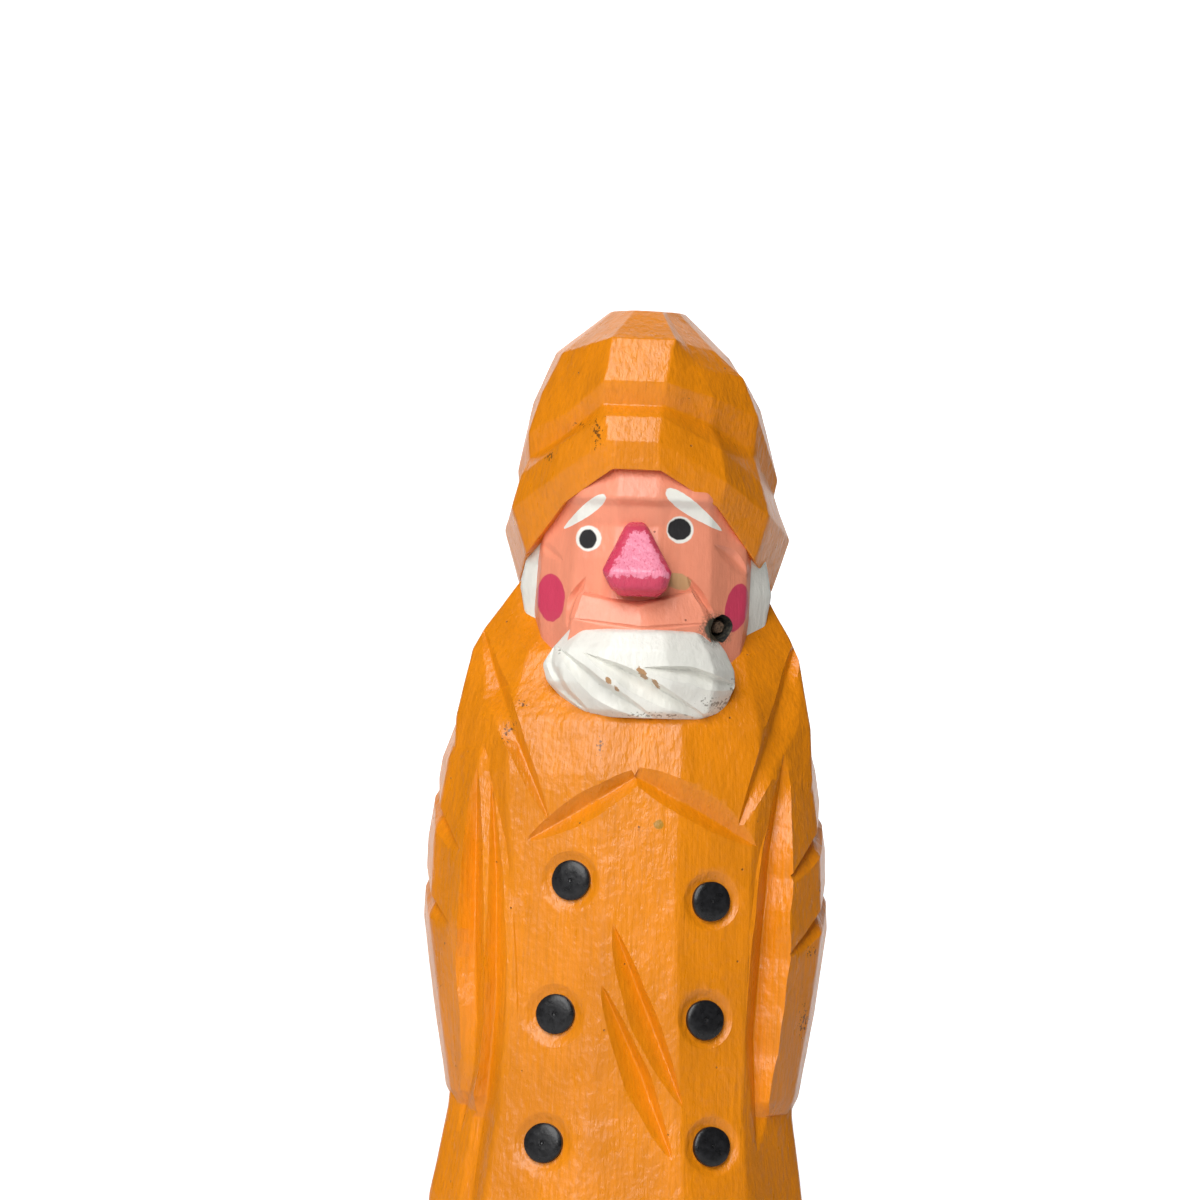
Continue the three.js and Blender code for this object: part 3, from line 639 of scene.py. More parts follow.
def button_lines(triangles):
    """Each button's middle on the coat and the way that it faces, from the slope of the coat round it."""
    step = 1.5
    spots = np.array(BUTTONS)
    across = on_wood(spots + (step, 0), triangles, 0) - on_wood(spots - (step, 0), triangles, 0)
    rise = on_wood(spots + (0, step), triangles, 0) - on_wood(spots - (0, step), triangles, 0)
    out = np.cross(across, rise)
    return on_wood(spots, triangles, 0), out / np.linalg.norm(out, axis=1, keepdims=True)


def button_parts(triangles):
    """For each button the shallow dish that is cut round it, and the domed disc with its centre dot."""
    dish = [
        (BUTTON_RADIUS - 0.3, -0.7 * DISH_DEEP), (BUTTON_RADIUS + 0.3, -0.7 * DISH_DEEP),
        (BUTTON_RADIUS + 0.8, -0.5 * DISH_DEEP), (DISH_RADIUS - 0.3, -0.06), (DISH_RADIUS + 0.3, 0.12),
        (DISH_RADIUS + 1.2, 1.6), (BUTTON_RADIUS - 0.6, 1.6),
    ]
    rim = BUTTON_RADIUS
    disc = [
        (rim - 0.02, -2.2), (rim, -0.3), (rim - 0.06, 0.0), (rim - 0.25, 0.16), (rim * 0.7, 0.3),
        (rim * 0.36, 0.34), (0.34, 0.33), (0.24, 0.16), (0.1, 0.1),
    ]
    dishes, discs = [], []
    for number, (point, out) in enumerate(zip(*button_lines(triangles))):
        dishes.append(mesh_object("dish", turned_ring(dish, 56, point, out), "coat"))
        discs.append(mesh_object("disc", turned_solid(disc, 56, point, out, 0.012, number), "button"))
    return dishes, discs


def pipe_line():
    """The middle of the stem left in the hole, and the way that the pipe ran, out of the wood."""
    turn, drop = math.radians(PIPE_TURN), math.radians(PIPE_DROP)
    out = np.array([
        math.sin(turn) * math.cos(drop),
        -math.cos(turn) * math.cos(drop),
        -math.sin(drop),
    ])
    middle = (np.array(STEM_BOX[0]) + np.array(STEM_BOX[1])) / 2 / MM
    return middle, out


def pipe_hole():
    """The drilled hole, wider and ragged at its mouth, where paint and wood have broken away."""
    middle, out = pipe_line()
    aside = np.cross((0, 0, 1), out)
    aside /= np.linalg.norm(aside)
    bottom = middle - STEM_OFFSET * aside - (STEM_LONG / 2 + 0.3) * out
    r = PIPE_HOLE_RADIUS
    profile = [(0.4, 0), (r - 0.1, 0.05), (r, 1.5), (r + 0.05, 3.2), (r + 0.25, 4.0), (r + 0.5, 4.6), (r + 0.6, 7.5)]
    return mesh_object("hole", turned_solid(profile, 40, bottom, out, 0.09, 8), "hollow")


def base_slab():
    """The low base: an eight-sided slab with a chamfer round its top."""
    w, d, c = BASE_HALF_WIDTH, BASE_HALF_DEPTH, BASE_CORNER
    corners = np.array([
        (-w + c, -d), (w - c, -d), (w, -d + c), (w, d - c), (w - c, d), (-w + c, d), (-w, d - c), (-w, -d + c),
    ])
    inset = corners * (1 - BASE_CHAMFER / w, 1 - BASE_CHAMFER / d)
    heights = ((corners, 0), (corners, BASE_TOP - BASE_CHAMFER), (inset, BASE_TOP))
    return np.array([np.column_stack([plan, np.full(8, z)]) for plan, z in heights])


def carve_body(size):
    """The coat with its sleeves, folds, collar and buttons."""
    step, arris, valley, waver = size
    nets = [
        net_of(COAT_PLAN, COAT_LEVELS),
        mirrored(net_of(ARM_PLAN, RIGHT_SLEEVE_LEVELS)),
        net_of(ARM_PLAN, LEFT_SLEEVE_LEVELS),
    ]
    blocks = [mesh_object("coat", lofted(net, step, arris, waver, 11 + n), "coat") for n, net in enumerate(nets)]
    wood = np.concatenate([facets(net) for net in nets])
    body = join(blocks[0], *blocks[1:])
    cuts = gouges(COLLAR_CUTS + SKIRT_CUTS + SLEEVE_CUTS, wood, 0, valley, "coat")
    cuts += gouges(RIGHT_FOLDS, wood, RIGHT_FOLD_LOOK, valley, "coat")
    cuts += gouges(LEFT_FOLDS, wood, LEFT_FOLD_LOOK, valley, "coat")
    dishes, discs = button_parts(wood)
    for each in cuts:
        body = cut(body, each)
    return join(cut(body, *dishes), *discs)


def carve_head(size):
    """The face with its side hair, nose and beard, and the hole for the pipe."""
    step, arris, valley, waver = size
    fine = 0.6 * step
    face_net, muzzle = net_of(FACE_PLAN, FACE_LEVELS), np.array(MUZZLE, float)
    hair_net, beard_net = net_of(HAIR_PLAN, HAIR_LEVELS), net_of(BEARD_PLAN, BEARD_LEVELS)
    face = join(
        mesh_object("face", lofted(face_net, fine, arris, waver, 21), "flesh"),
        mesh_object("muzzle", lofted(muzzle, fine, 0.6 * arris, waver, 22), "flesh"),
    )
    for each in gouges(FACE_CUTS, np.concatenate([facets(face_net), facets(muzzle)]), 0, valley, "flesh"):
        face = cut(face, each)
    beard = mesh_object("beard", lofted(beard_net, fine, arris, waver, 23), "white")
    for each in gouges(BEARD_CUTS, facets(beard_net), 0, valley, "white"):
        beard = cut(beard, each)
    head = join(
        face,
        mesh_object("hair", lofted(hair_net, step, arris, waver, 24), "white"),
        mesh_object("nose", lofted(net_of(NOSE_PLAN, NOSE_LEVELS), 0.5 * step, arris, 0.6 * waver, 25), "nose"),
        beard,
    )
    return cut(head, pipe_hole())


def carve_hat(size):
    """The sou'wester: a brim that falls to the neck at the back, and a faceted crown above the groove."""
    step, arris, _, waver = size
    net = np.concatenate([net_of(BRIM_PLAN, BRIM_LEVELS), net_of(CROWN_PLAN, CROWN_LEVELS)])
    return mesh_object("hat", lofted(net, 0.8 * step, 0.7 * arris, waver, 31), "coat")


def carve_foot(size):
    """The pair of sea boots and the low base."""
    step, arris, _, waver = size
    nets = [net_of(BOOT_PLAN, FOOT_LEVELS), net_of(BOOT_PLAN, SHAFT_LEVELS)]
    nets += [mirrored(net) for net in nets]
    boots = [mesh_object("boot", lofted(net, 1.3 * step, arris, waver, 41 + n), "boot") for n, net in enumerate(nets)]
    return join(mesh_object("base", lofted(base_slab(), 2 * step, arris, 0), "base"), *boots)


def largest_body(data):
    """Keeps the largest connected part of a mesh, by handing the lowest number of each edge's two ends to the
    other until nothing changes."""
    edges = np.empty(len(data.edges) * 2, dtype=np.int32)
    data.edges.foreach_get("vertices", edges)
    edges = edges.reshape(-1, 2)
    label = np.arange(len(data.vertices))
    while True:
        low = np.minimum(label[edges[:, 0]], label[edges[:, 1]])
        spread = label.copy()
        np.minimum.at(spread, edges[:, 0], low)
        np.minimum.at(spread, edges[:, 1], low)
        spread = spread[spread]
        if np.array_equal(spread, label):
            break
        label = spread
    names, counts = np.unique(label, return_counts=True)
    return label == names[counts.argmax()]


def keep_largest(piece):
    """Deletes the loose chips that crossing cuts leave."""
    keep = largest_body(piece.data)
    if keep.all():
        return
    work = bmesh.new()
    work.from_mesh(piece.data)
    work.verts.ensure_lookup_table()
    bmesh.ops.delete(work, geom=[work.verts[i] for i in np.flatnonzero(~keep)], context="VERTS")
    work.to_mesh(piece.data)
    work.free()


def mark_edges(data, rounds=2):
    """Stores in attribute "edge" how sharply the wood turns at each point: above 0 on an arris, below 0 in a
    valley. It is the mean over a point's edges of how far their ends lie below or above its tangent plane."""
    count = len(data.vertices)
    places, normals = np.empty(count * 3), np.empty(count * 3)
    data.vertices.foreach_get("co", places)
    data.vertices.foreach_get("normal", normals)
    places, normals = places.reshape(-1, 3), normals.reshape(-1, 3)
    ends = np.empty(len(data.edges) * 2, dtype=np.int32)
    data.edges.foreach_get("vertices", ends)
    a, b = ends.reshape(-1, 2).T
    way = places[b] - places[a]
    long = np.maximum(np.linalg.norm(way, axis=1), 1e-9)
    degree = np.bincount(a, minlength=count) + np.bincount(b, minlength=count)
    fall = np.bincount(a, -(way * normals[a]).sum(1) / long, count)
    fall += np.bincount(b, (way * normals[b]).sum(1) / long, count)
    turn = fall / degree
    for _ in range(rounds):
        spread = np.bincount(a, turn[b], count) + np.bincount(b, turn[a], count)
        turn = 0.5 * turn + 0.5 * spread / degree
    mark = data.attributes.new("edge", "FLOAT", "POINT")
    mark.data.foreach_set("value", turn.astype(np.float32))


def dress(piece, materials):
    """Gives the piece its materials, each face by its paint, and smooth shading between the sharp edges."""
    data = piece.data
    paint = np.empty(len(data.polygons), dtype=np.int32)
    data.attributes["paint"].data.foreach_get("value", paint)
    data.materials.clear()
    for material in materials:
        data.materials.append(material)
    data.polygons.foreach_set("material_index", paint)
    data.shade_smooth()
    data.set_sharp_from_angle(angle=math.radians(32))
    data.update()


class Nodes:
    """Short ways to add and link the nodes of one material."""

    def __init__(self, name):
        self.material = bpy.data.materials.new(name)
        self.material.use_nodes = True
        self.tree = self.material.node_tree
        self.shader = self.tree.nodes["Principled BSDF"]
        self.place = self.add("ShaderNodeTexCoord").outputs["Object"]

    def add(self, kind, inputs=None, **settings):
        node = self.tree.nodes.new(kind)
        for name, value in settings.items():
            setattr(node, name, value)
        for key, value in (inputs or {}).items():
            self.set(node.inputs[key], value)
        return node

    def set(self, socket, value):
        if isinstance(value, bpy.types.NodeSocket):
            self.tree.links.new(value, socket)
        else:
            socket.default_value = value

    def math(self, operation, a, b=0.0, c=0.0):
        return self.add("ShaderNodeMath", {0: a, 1: b, 2: c}, operation=operation).outputs[0]

    def step(self, value, low, high):
        """0 below low, 1 above high, and smooth between."""
        node = self.add("ShaderNodeMapRange", {0: value, 1: low, 2: high}, interpolation_type="SMOOTHSTEP")
        return node.outputs[0]

    def stretched(self, across, along_z):
        """Object coordinates in units of those sizes in millimetres, for a pattern drawn out along Z."""
        scale = (1 / (across * MM), 1 / (across * MM), 1 / (along_z * MM))
        return self.add("ShaderNodeMapping", {"Vector": self.place, "Scale": scale}).outputs[0]

    def noise(self, across, along_z=None, detail=3.0, rough=0.55):
        where = self.stretched(across, along_z or across)
        return self.add("ShaderNodeTexNoise", {"Vector": where, "Scale": 1.0, "Detail": detail, "Roughness": rough}
                        ).outputs["Fac"]

    def mix(self, share, a, b, blend="MIX"):
        node = self.add("ShaderNodeMix", {0: share, 6: a, 7: b}, data_type="RGBA", blend_type=blend)
        return node.outputs[2]

    def attribute(self, name):
        return self.add("ShaderNodeAttribute", attribute_name=name).outputs["Fac"]

    def any_of(self, masks):
        """The greatest of several masks."""
        most = masks[0]
        for mask in masks[1:]:
            most = self.math("MAXIMUM", most, mask)
        return most

    def reach(self, x, z, half_wide, half_high, tilt=0.0, taper=0.0):
        """How far from the middle of an oval on the front a point lies: 1 at its edge. With a taper it narrows
        towards its right end."""
        where = self.add("ShaderNodeMapping", {
            "Vector": self.place,
            "Location": (x * MM, -18 * MM, z * MM),
            "Rotation": (0, -math.radians(tilt), 0),
            "Scale": (half_wide * MM, 18 * MM, half_high * MM),
        }, vector_type="TEXTURE").outputs[0]
        if taper:
            parts = self.add("ShaderNodeSeparateXYZ", {0: where})
            slim = self.math("MULTIPLY_ADD", parts.outputs[0], -taper, 1.0)
            high = self.math("DIVIDE", parts.outputs[2], slim)
            where = self.add("ShaderNodeCombineXYZ", {0: parts.outputs[0], 1: parts.outputs[1], 2: high}).outputs[0]
        return self.add("ShaderNodeVectorMath", {0: where}, operation="LENGTH").outputs["Value"]

    def spot(self, x, z, half_wide, half_high, tilt=0.0, ragged=0.0, rag_size=0.8, taper=0.0, soft=0.12):
        """A painted oval: 1 inside and 0 outside. Its edge wanders by the ragged share and fades over twice the
        soft width in millimetres."""
        reach = self.reach(x, z, half_wide, half_high, tilt, taper)
        if ragged:
            reach = self.math("MULTIPLY_ADD", self.noise(rag_size, detail=2.0), 2 * ragged, reach)
            reach = self.math("SUBTRACT", reach, ragged)
        edge = soft / max(half_wide, half_high)
        return self.step(reach, 1 + edge, 1 - edge)

    def specks(self, x, z, half_wide, half_high, grain):
        """Specks that crowd towards the middle of an oval: where noise stands above a level that rises outwards."""
        above = self.math("SUBTRACT", grain, self.math("MULTIPLY", self.reach(x, z, half_wide, half_high), 0.16))
        return self.step(above, 0.46, 0.5)

    def bump(self, height, strength, distance, normal=None):
        inputs = {"Height": height, "Strength": strength, "Distance": distance * MM}
        if normal is not None:
            inputs["Normal"] = normal
        return self.add("ShaderNodeBump", inputs).outputs["Normal"]

    def finish(self, colour, roughness, normal, specular=0.5):
        self.set(self.shader.inputs["Base Color"], colour)
        self.set(self.shader.inputs["Roughness"], roughness)
        self.set(self.shader.inputs["Normal"], normal)
        self.set(self.shader.inputs["Specular IOR Level"], specular)
        return self.material


def shade(colour, factor):
    return tuple(channel * factor for channel in colour[:3]) + (1.0,)


def brushed_paint(name, colour, worn, streak=0.5, dirt_and_valley_shade=0.5, gloss=0.3, relief=1.0):
    """Brushed glossy paint: streaks along the grain, slow changes of tone, painted shade in the valleys, a worn
    tone on the arrises, small pits, and in its surface the lines of the brush over the skin and the dents of
    thick paint."""
    n = Nodes(name)
    streaks = n.noise(0.5, 12, detail=4.0, rough=0.6)
    slow = n.noise(10, 24, detail=3.0)
    tone = n.mix(n.step(slow, 0.35, 0.7), shade(colour, 1.05), shade(colour, 0.88))
    tone = n.mix(n.math("MULTIPLY", n.step(streaks, 0.42, 0.72), streak), tone, shade(colour, 0.78))
    turn = n.attribute("edge")
    # Painted shade: the valleys are darkened towards a deep tone of the paint, broken up by noise.
    valley_shade = n.math("MULTIPLY", n.step(turn, -0.05, -0.28), n.step(n.noise(1.1, 2.4), 0.45, 0.68))
    tone = n.mix(n.math("MULTIPLY", valley_shade, dirt_and_valley_shade), tone, shade(colour, 0.22))
    rubbed = n.math("MULTIPLY", n.step(turn, 0.08, 0.3), n.step(n.noise(1.6, 3.0), 0.38, 0.66))
    tone = n.mix(n.math("MULTIPLY", rubbed, 0.45), tone, worn)
    cell = n.add("ShaderNodeTexVoronoi", {"Vector": n.stretched(2.4, 2.4), "Scale": 1.0}, feature="F1")
    chosen = n.step(n.add("ShaderNodeSeparateColor", {0: cell.outputs["Color"]}).outputs[0], 0.80, 0.83)
    pit = n.math("MULTIPLY", n.step(cell.outputs["Distance"], 0.085, 0.04), chosen)
    tone = n.mix(n.math("MULTIPLY", pit, 0.75), tone, shade(colour, 0.2))
    lines = n.noise(0.42, 14, detail=3.0)
    skin = n.noise(0.8, 1.1, detail=3.0, rough=0.6)
    dents = n.noise(3.2, 4.4, detail=2.0)
    normal = n.bump(dents, 0.5 * relief, 0.5)
    normal = n.bump(skin, 0.6 * relief, 0.16, normal)
    normal = n.bump(lines, 0.6 * relief, 0.13, normal)
    normal = n.bump(n.math("SUBTRACT", 1.0, pit), 0.8, 0.12, normal)
    rough = n.math("MULTIPLY_ADD", n.noise(1.4, 5), 0.22, gloss - 0.1)
    return n, tone, rough, normal


def coat_material(s):
    n, tone, rough, normal = brushed_paint("painted coat", s.coat, worn=(0.42, 0.19, 0.004, 1))
    grain = n.noise(0.45, detail=3.0)
    dirt_and_valley_shade = n.any_of([n.specks(*place, grain) for place in COAT_DIRT])
    tone = n.mix(n.math("MULTIPLY", dirt_and_valley_shade, 0.85), tone, (0.10, 0.035, 0.004, 1))
    tone = n.mix(n.math("MULTIPLY", n.spot(*OLIVE_STAIN, ragged=0.4), 0.7), tone, (0.28, 0.19, 0.01, 1))
    return n.finish(tone, rough, normal)


def flesh_material(s):
    n, tone, rough, normal = brushed_paint(
        "painted face", s.flesh, worn=(0.95, 0.45, 0.32, 1), streak=0.2, dirt_and_valley_shade=0.35, gloss=0.34, relief=0.6)
    bare = n.spot(5.9, 165.0, 2.0, 1.2, tilt=-14, ragged=0.25, rag_size=1.6)
    tone = n.mix(n.math("MULTIPLY", bare, 0.8), tone, (0.50, 0.33, 0.15, 1))
    cheeks = n.math(
        "MAXIMUM",
        n.spot(-12.9, 162.0, 2.3, 3.8, tilt=4, ragged=0.08, rag_size=2.4),
        n.spot(14.8, 161.5, 1.9, 3.9, tilt=-10, ragged=0.08, rag_size=2.4),
    )
    tone = n.mix(cheeks, tone, s.rose)
    whites = n.any_of([
        n.spot(-7.5, 170.9, 1.9, 1.9, ragged=0.05), n.spot(5.9, 172.6, 2.0, 2.0, ragged=0.05),
        n.spot(-8.3, 174.7, 4.0, 0.85, tilt=40, ragged=0.06, taper=-0.45),
        n.spot(7.9, 175.5, 5.2, 1.05, tilt=-33.5, ragged=0.06, taper=0.5),
    ])
    tone = n.mix(whites, tone, s.white)
    pupils = n.math("MAXIMUM", n.spot(-7.6, 170.8, 1.3, 1.45, ragged=0.08), n.spot(5.8, 172.7, 1.75, 1.6, ragged=0.1))
    tone = n.mix(pupils, tone, s.black)
    rough = n.math("MULTIPLY_ADD", pupils, 0.4, rough)
    # Painted shade at the rim of the pipe's hole, and soot round it.
    tone = n.mix(pipe_hole_shade_and_soot(n), tone, (0.06, 0.05, 0.03, 1))
    return n.finish(tone, rough, normal)


def pipe_hole_shade_and_soot(n):
    """Painted shade dense at the rim of the pipe's hole, and soot round it, broken up by fibres further out."""
    dense = n.spot(*PIPE_MOUTH, 1.9, 1.9, ragged=0.2, rag_size=0.7, soft=0.3)
    halo = n.math("MULTIPLY", n.spot(*PIPE_MOUTH, 2.5, 2.4, ragged=0.3, rag_size=0.8, soft=0.7), 0.6)
    return n.math("MAXIMUM", dense, n.math("MULTIPLY", halo, n.step(n.noise(0.3, 0.3), 0.4, 0.55)))


def white_material(s):
    n, tone, rough, normal = brushed_paint(
        "painted beard", s.white, worn=(0.90, 0.89, 0.84, 1), streak=0.15, dirt_and_valley_shade=0.9, gloss=0.4, relief=0.8)
    chip = n.any_of([n.spot(*place, tilt=-50, ragged=0.8, rag_size=0.6) for place in BEARD_CHIPS])
    tone = n.mix(chip, tone, (0.46, 0.26, 0.12, 1))
    grain = n.noise(0.6, 0.4, detail=4.0)
    # Dark specks: dirt, and painted shade on the beard's right side and along its bottom edge.
    soiled_and_shaded = n.any_of([n.specks(*place, grain) for place in BEARD_DIRT_AND_SHADE])
    tone = n.mix(n.math("MULTIPLY", soiled_and_shaded, 0.7), tone, (0.16, 0.13, 0.09, 1))
    # Painted shade at the rim of the pipe's hole, and soot round it.
    tone = n.mix(pipe_hole_shade_and_soot(n), tone, (0.06, 0.05, 0.03, 1))
    return n.finish(tone, rough, normal)


def nose_material(s):
    """Rose paint, with a lighter brushed layer that stops ragged short of the nose's edges: pale dry-brushed pink and a
    painted highlight on the front facet.
    """
    n, tone, rough, normal = brushed_paint("painted nose", s.rose, worn=shade(s.rose, 1.2), streak=0.3, gloss=0.28)
    place = n.add("ShaderNodeSeparateXYZ", {0: n.place}).outputs
    right = n.math("MULTIPLY_ADD", place[2], -0.57, (4.3 + 0.57 * 166.2) * MM)
    left = n.math("MULTIPLY_ADD", place[2], -0.48, (4.1 + 0.48 * 166.2) * MM)
    inside = n.math("MINIMUM", n.math("SUBTRACT", right, place[0]), n.math("ADD", left, place[0]))
    inside = n.math("MINIMUM", inside, n.math("SUBTRACT", place[2], 165.4 * MM))
    inside = n.math("MINIMUM", inside, n.math("SUBTRACT", 172.2 * MM, place[2]))
    ragged = n.math("MULTIPLY_ADD", n.math("SUBTRACT", n.noise(0.7, 0.9, detail=4.0), 0.5), 2.2 * MM, inside)
    # Painted highlight and pale dry-brushed pink on the nose's front facet, ragged at its edges.
    light = n.math("MULTIPLY", n.step(ragged, -0.1 * MM, 0.25 * MM), n.step(n.noise(0.35, 1.0), 0.2, 0.5))
    tone = n.mix(n.math("MULTIPLY", light, 0.85), tone, (0.95, 0.33, 0.46, 1))
    return n.finish(tone, rough, normal)


def button_material(s):
    n = Nodes("painted button")
    sheen = n.noise(0.8, 0.8)
    tone = n.mix(n.step(sheen, 0.4, 0.7), s.black, shade(s.black, 2.0))
    normal = n.bump(n.noise(1.0), 0.5, 0.12)
    rough = n.math("MULTIPLY_ADD", sheen, 0.2, 0.2)
    return n.finish(tone, rough, normal, 0.4)


def boot_material(s):
    n, tone, rough, normal = brushed_paint("painted boots", shade(s.black, 1.6), worn=(0.05, 0.04, 0.03, 1))
    return n.finish(tone, rough, normal)


def base_material(s):
    n, tone, rough, normal = brushed_paint("stained base", s.base, worn=(0.16, 0.09, 0.045, 1), gloss=0.42)
    return n.finish(tone, rough, normal)


def hole_shade_material(s):
    n = Nodes("pipe hole")
    # Painted shade: the inside of the pipe's hole is near-black, mottled with dark brown.
    tone = n.mix(n.step(n.noise(0.5), 0.4, 0.65), (0.012, 0.012, 0.011, 1), (0.07, 0.06, 0.04, 1))
    return n.finish(tone, 0.7, n.bump(n.noise(0.4), 0.8, 0.2))


MATERIALS = (
    coat_material, flesh_material, white_material, nose_material,
    button_material, boot_material, base_material, hole_shade_material,
)


def stem_material(wood):
    """Broken end grain: dark pores between pale fibres."""
    n = Nodes("broken stem")
    fibres = n.noise(0.28, detail=4.0)
    tone = n.mix(n.step(fibres, 0.35, 0.7), shade(wood, 0.45), shade(wood, 1.5))
    return n.finish(tone, 0.75, n.bump(fibres, 0.9, 0.15))


class CARVING_OT_fisherman(bpy.types.Operator):
    """Carve and paint the fisherman"""

    bl_idname = "carving.fisherman"
    bl_label = "Fisherman"

    def execute(self, context):
        s = context.scene.carving
        size = [value / MM for value in (s.facet_step, s.arris, s.valley, s.waver)]
        piece = join(carve_foot(size), carve_body(size), carve_head(size), carve_hat(size))
        piece.name = "carved_fisherman"
        keep_largest(piece)
        mark_edges(piece.data)
        dress(piece, [make(s) for make in MATERIALS])
        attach(piece, "root")
        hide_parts("fisherman")
        return {"FINISHED"}


class CARVING_OT_stem(bpy.types.Operator):
    """Put the broken pipe stem in its hole"""

    bl_idname = "carving.stem"
    bl_label = "Pipe stem stub"

    def execute(self, context):
        s = context.scene.pipe_stem
        middle, out = pipe_line()
        r, half = s.radius / MM, s.length / MM / 2
        profile = [(0.3 * r, -half), (0.9 * r, -half), (r, 0.1 - half), (r, 0.6 * half), (0.97 * r, half - 0.25),
                   (0.85 * r, half - 0.05), (0.6 * r, half - 0.15), (0.3 * r, half - 0.02)]
        piece = mesh_object("broken_pipe_stem", turned_solid(profile, 28, middle, out, 0.05, 5), "hollow")
        piece.data.materials.append(stem_material(s.wood))
        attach(piece, "root")
        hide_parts("pipe_stem_stub")
        return {"FINISHED"}


def paper_sweep():
    """The floor and the wall behind in one sheet: level, then a quarter circle up, then upright, carried
    sideways."""
    radius, front, back, half, high = 0.6, -0.7, 1.1, 0.8, 2.0
    angle = np.linspace(0, math.pi / 2, 24)
    profile = np.concatenate([
        [(front, 0.0)],
        np.stack([back - radius + radius * np.sin(angle), radius - radius * np.cos(angle)], axis=1),
        [(back, high)],
    ])
    x = np.linspace(-half, half, 25)
    grid = np.empty((len(profile), len(x), 3))
    grid[..., 0] = x
    grid[..., 1] = profile[:, :1]
    grid[..., 2] = profile[:, 1:]
    i, j = np.meshgrid(np.arange(len(profile) - 1), np.arange(len(x) - 1), indexing="ij")
    a = i * len(x) + j
    quads = np.stack([a, a + 1, a + len(x) + 1, a + len(x)], axis=-1).reshape(-1, 4)
    return grid.reshape(-1, 3), quads


def paper_material():
    """White paper that glows as painted light, full at the back and fading out across the floor towards the figure."""
    n = Nodes("pale paper")
    far = n.step(n.add("ShaderNodeSeparateXYZ", {0: n.place}).outputs[1], 0.2, 0.9)
    n.set(n.shader.inputs["Emission Color"], (1, 1, 1, 1))
    n.set(n.shader.inputs["Emission Strength"], n.math("MULTIPLY", far, 0.8))
    return n.finish((0.88, 0.88, 0.88, 1), 0.9, n.bump(n.noise(3), 0.05, 0.1))


def studio_world(fill):
    """A white room as seen directly, that gives off only a weak light."""
    world = bpy.data.worlds.new("studio")
    world.use_nodes = True
    tree = world.node_tree
    back = tree.nodes["Background"]
    back.inputs["Color"].default_value = (1, 1, 1, 1)
    seen = tree.nodes.new("ShaderNodeLightPath")
    level = tree.nodes.new("ShaderNodeMapRange")
    level.inputs["To Min"].default_value = fill
    level.inputs["To Max"].default_value = 1.0
    tree.links.new(seen.outputs["Is Camera Ray"], level.inputs["Value"])
    tree.links.new(level.outputs[0], back.inputs["Strength"])
    return world


def around(middle, azimuth, height, distance):
    """The point at an azimuth and an elevation from the middle. Azimuth 0 is in front and 90 degrees is on the
    figure's left hand side."""
    level = distance * math.cos(height)
    x, y = middle[0] + level * math.sin(azimuth), middle[1] - level * math.cos(azimuth)
    return x, y, middle[2] + distance * math.sin(height)


def area_light(name, place, target, wide, high, power):
    """A rectangular soft light at a place, turned to face the target."""
    data = bpy.data.lights.new(name, "AREA")
    data.shape, data.size, data.size_y, data.energy = "RECTANGLE", wide, high, power
    light = bpy.data.objects.new(name, data)
    light.location = place
    light.rotation_euler = (Vector(target) - Vector(place)).to_track_quat("-Z", "Y").to_euler()
    light.visible_camera = False
    bpy.context.scene.collection.objects.link(light)
    return light


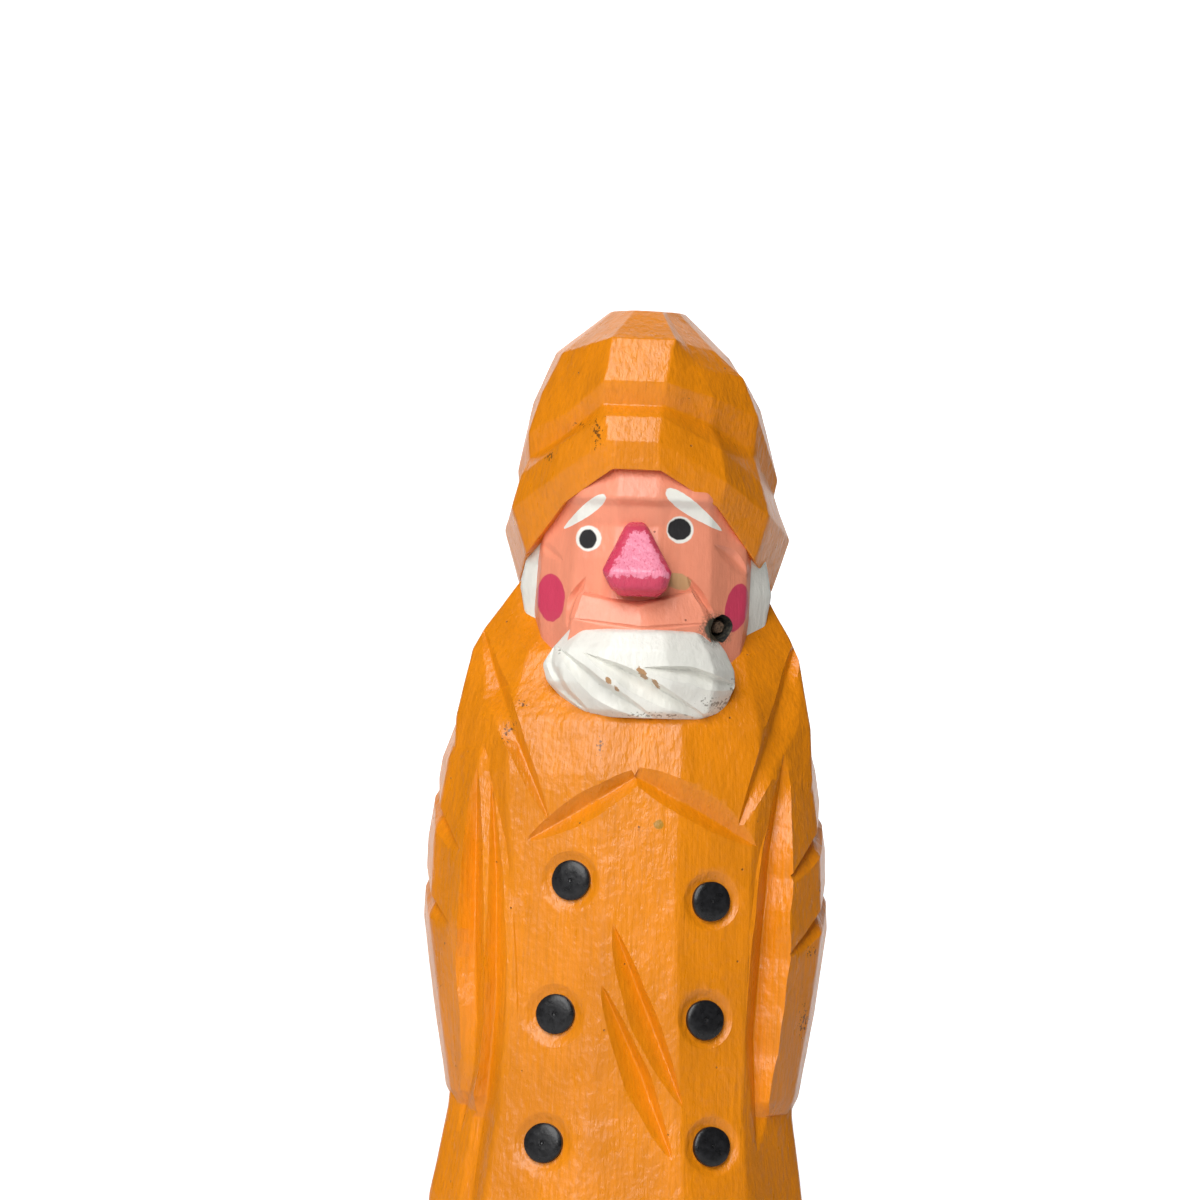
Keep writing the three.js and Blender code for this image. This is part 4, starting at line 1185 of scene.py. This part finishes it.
class CARVING_OT_studio(bpy.types.Operator):
    """Set up the paper sweep, the soft lights and the camera"""

    bl_idname = "carving.studio"
    bl_label = "Studio"

    def execute(self, context):
        s = context.scene.studio
        points, quads = paper_sweep()
        data = bpy.data.meshes.new("paper_sweep")
        data.from_pydata(points.tolist(), [], quads.tolist())
        data.shade_smooth()
        data.materials.append(paper_material())
        sweep = bpy.data.objects.new("paper_sweep", data)
        context.scene.collection.objects.link(sweep)
        context.scene.world = studio_world(s.fill)
        middle = (0, 0, 0.14)
        area_light("key", around(middle, s.key_azimuth, s.key_height, 1.25), middle, 0.85, 1.15, s.key)
        area_light("side", around(middle, math.radians(-78), 0.2, 1.3), middle, 0.5, 1.0, s.side)
        camera = bpy.data.objects.new("camera", bpy.data.cameras.new("camera"))
        front = 0.015
        camera.data.sensor_width = camera.data.sensor_height = 36
        camera.data.sensor_fit = "VERTICAL"
        camera.data.lens = 36 * (s.distance - front) / s.picture
        camera.data.clip_start, camera.data.clip_end = 0.05, 20
        turn = Matrix.Rotation(math.pi / 2, 4, "X") @ Matrix.Rotation(s.roll, 4, "Z")
        camera.matrix_world = Matrix.Translation((s.aim_x, -s.distance, s.aim_z)) @ turn
        context.scene.collection.objects.link(camera)
        context.scene.camera = camera
        context.scene.view_settings.view_transform = "Standard"
        return {"FINISHED"}


class CARVING_PT_panel(bpy.types.Panel):
    """Lists what can be made, with its sizes and colours"""

    bl_label = "Carved fisherman"
    bl_idname = "CARVING_PT_panel"
    bl_space_type = "VIEW_3D"
    bl_region_type = "UI"
    bl_category = "Carving"

    def draw(self, context):
        for operator, group in ((CARVING_OT_fisherman, "carving"), (CARVING_OT_stem, "pipe_stem"),
                                (CARVING_OT_studio, "studio")):
            box = self.layout.box()
            box.operator(operator.bl_idname)
            settings = getattr(context.scene, group)
            for name in settings.__annotations__:
                box.prop(settings, name)


CLASSES = (
    CarvingSettings, StemSettings, StudioSettings,
    CARVING_OT_fisherman, CARVING_OT_stem, CARVING_OT_studio, CARVING_PT_panel,
)


def register():
    for each in CLASSES:
        bpy.utils.register_class(each)
    bpy.types.Scene.carving = bpy.props.PointerProperty(type=CarvingSettings)
    bpy.types.Scene.pipe_stem = bpy.props.PointerProperty(type=StemSettings)
    bpy.types.Scene.studio = bpy.props.PointerProperty(type=StudioSettings)


def unregister():
    for name in ("carving", "pipe_stem", "studio"):
        delattr(bpy.types.Scene, name)
    for each in reversed(CLASSES):
        bpy.utils.unregister_class(each)


def main():
    register()
    bpy.ops.carving.studio()
    bpy.ops.carving.fisherman()
    bpy.ops.carving.stem()


if __name__ == "__main__":
    main()
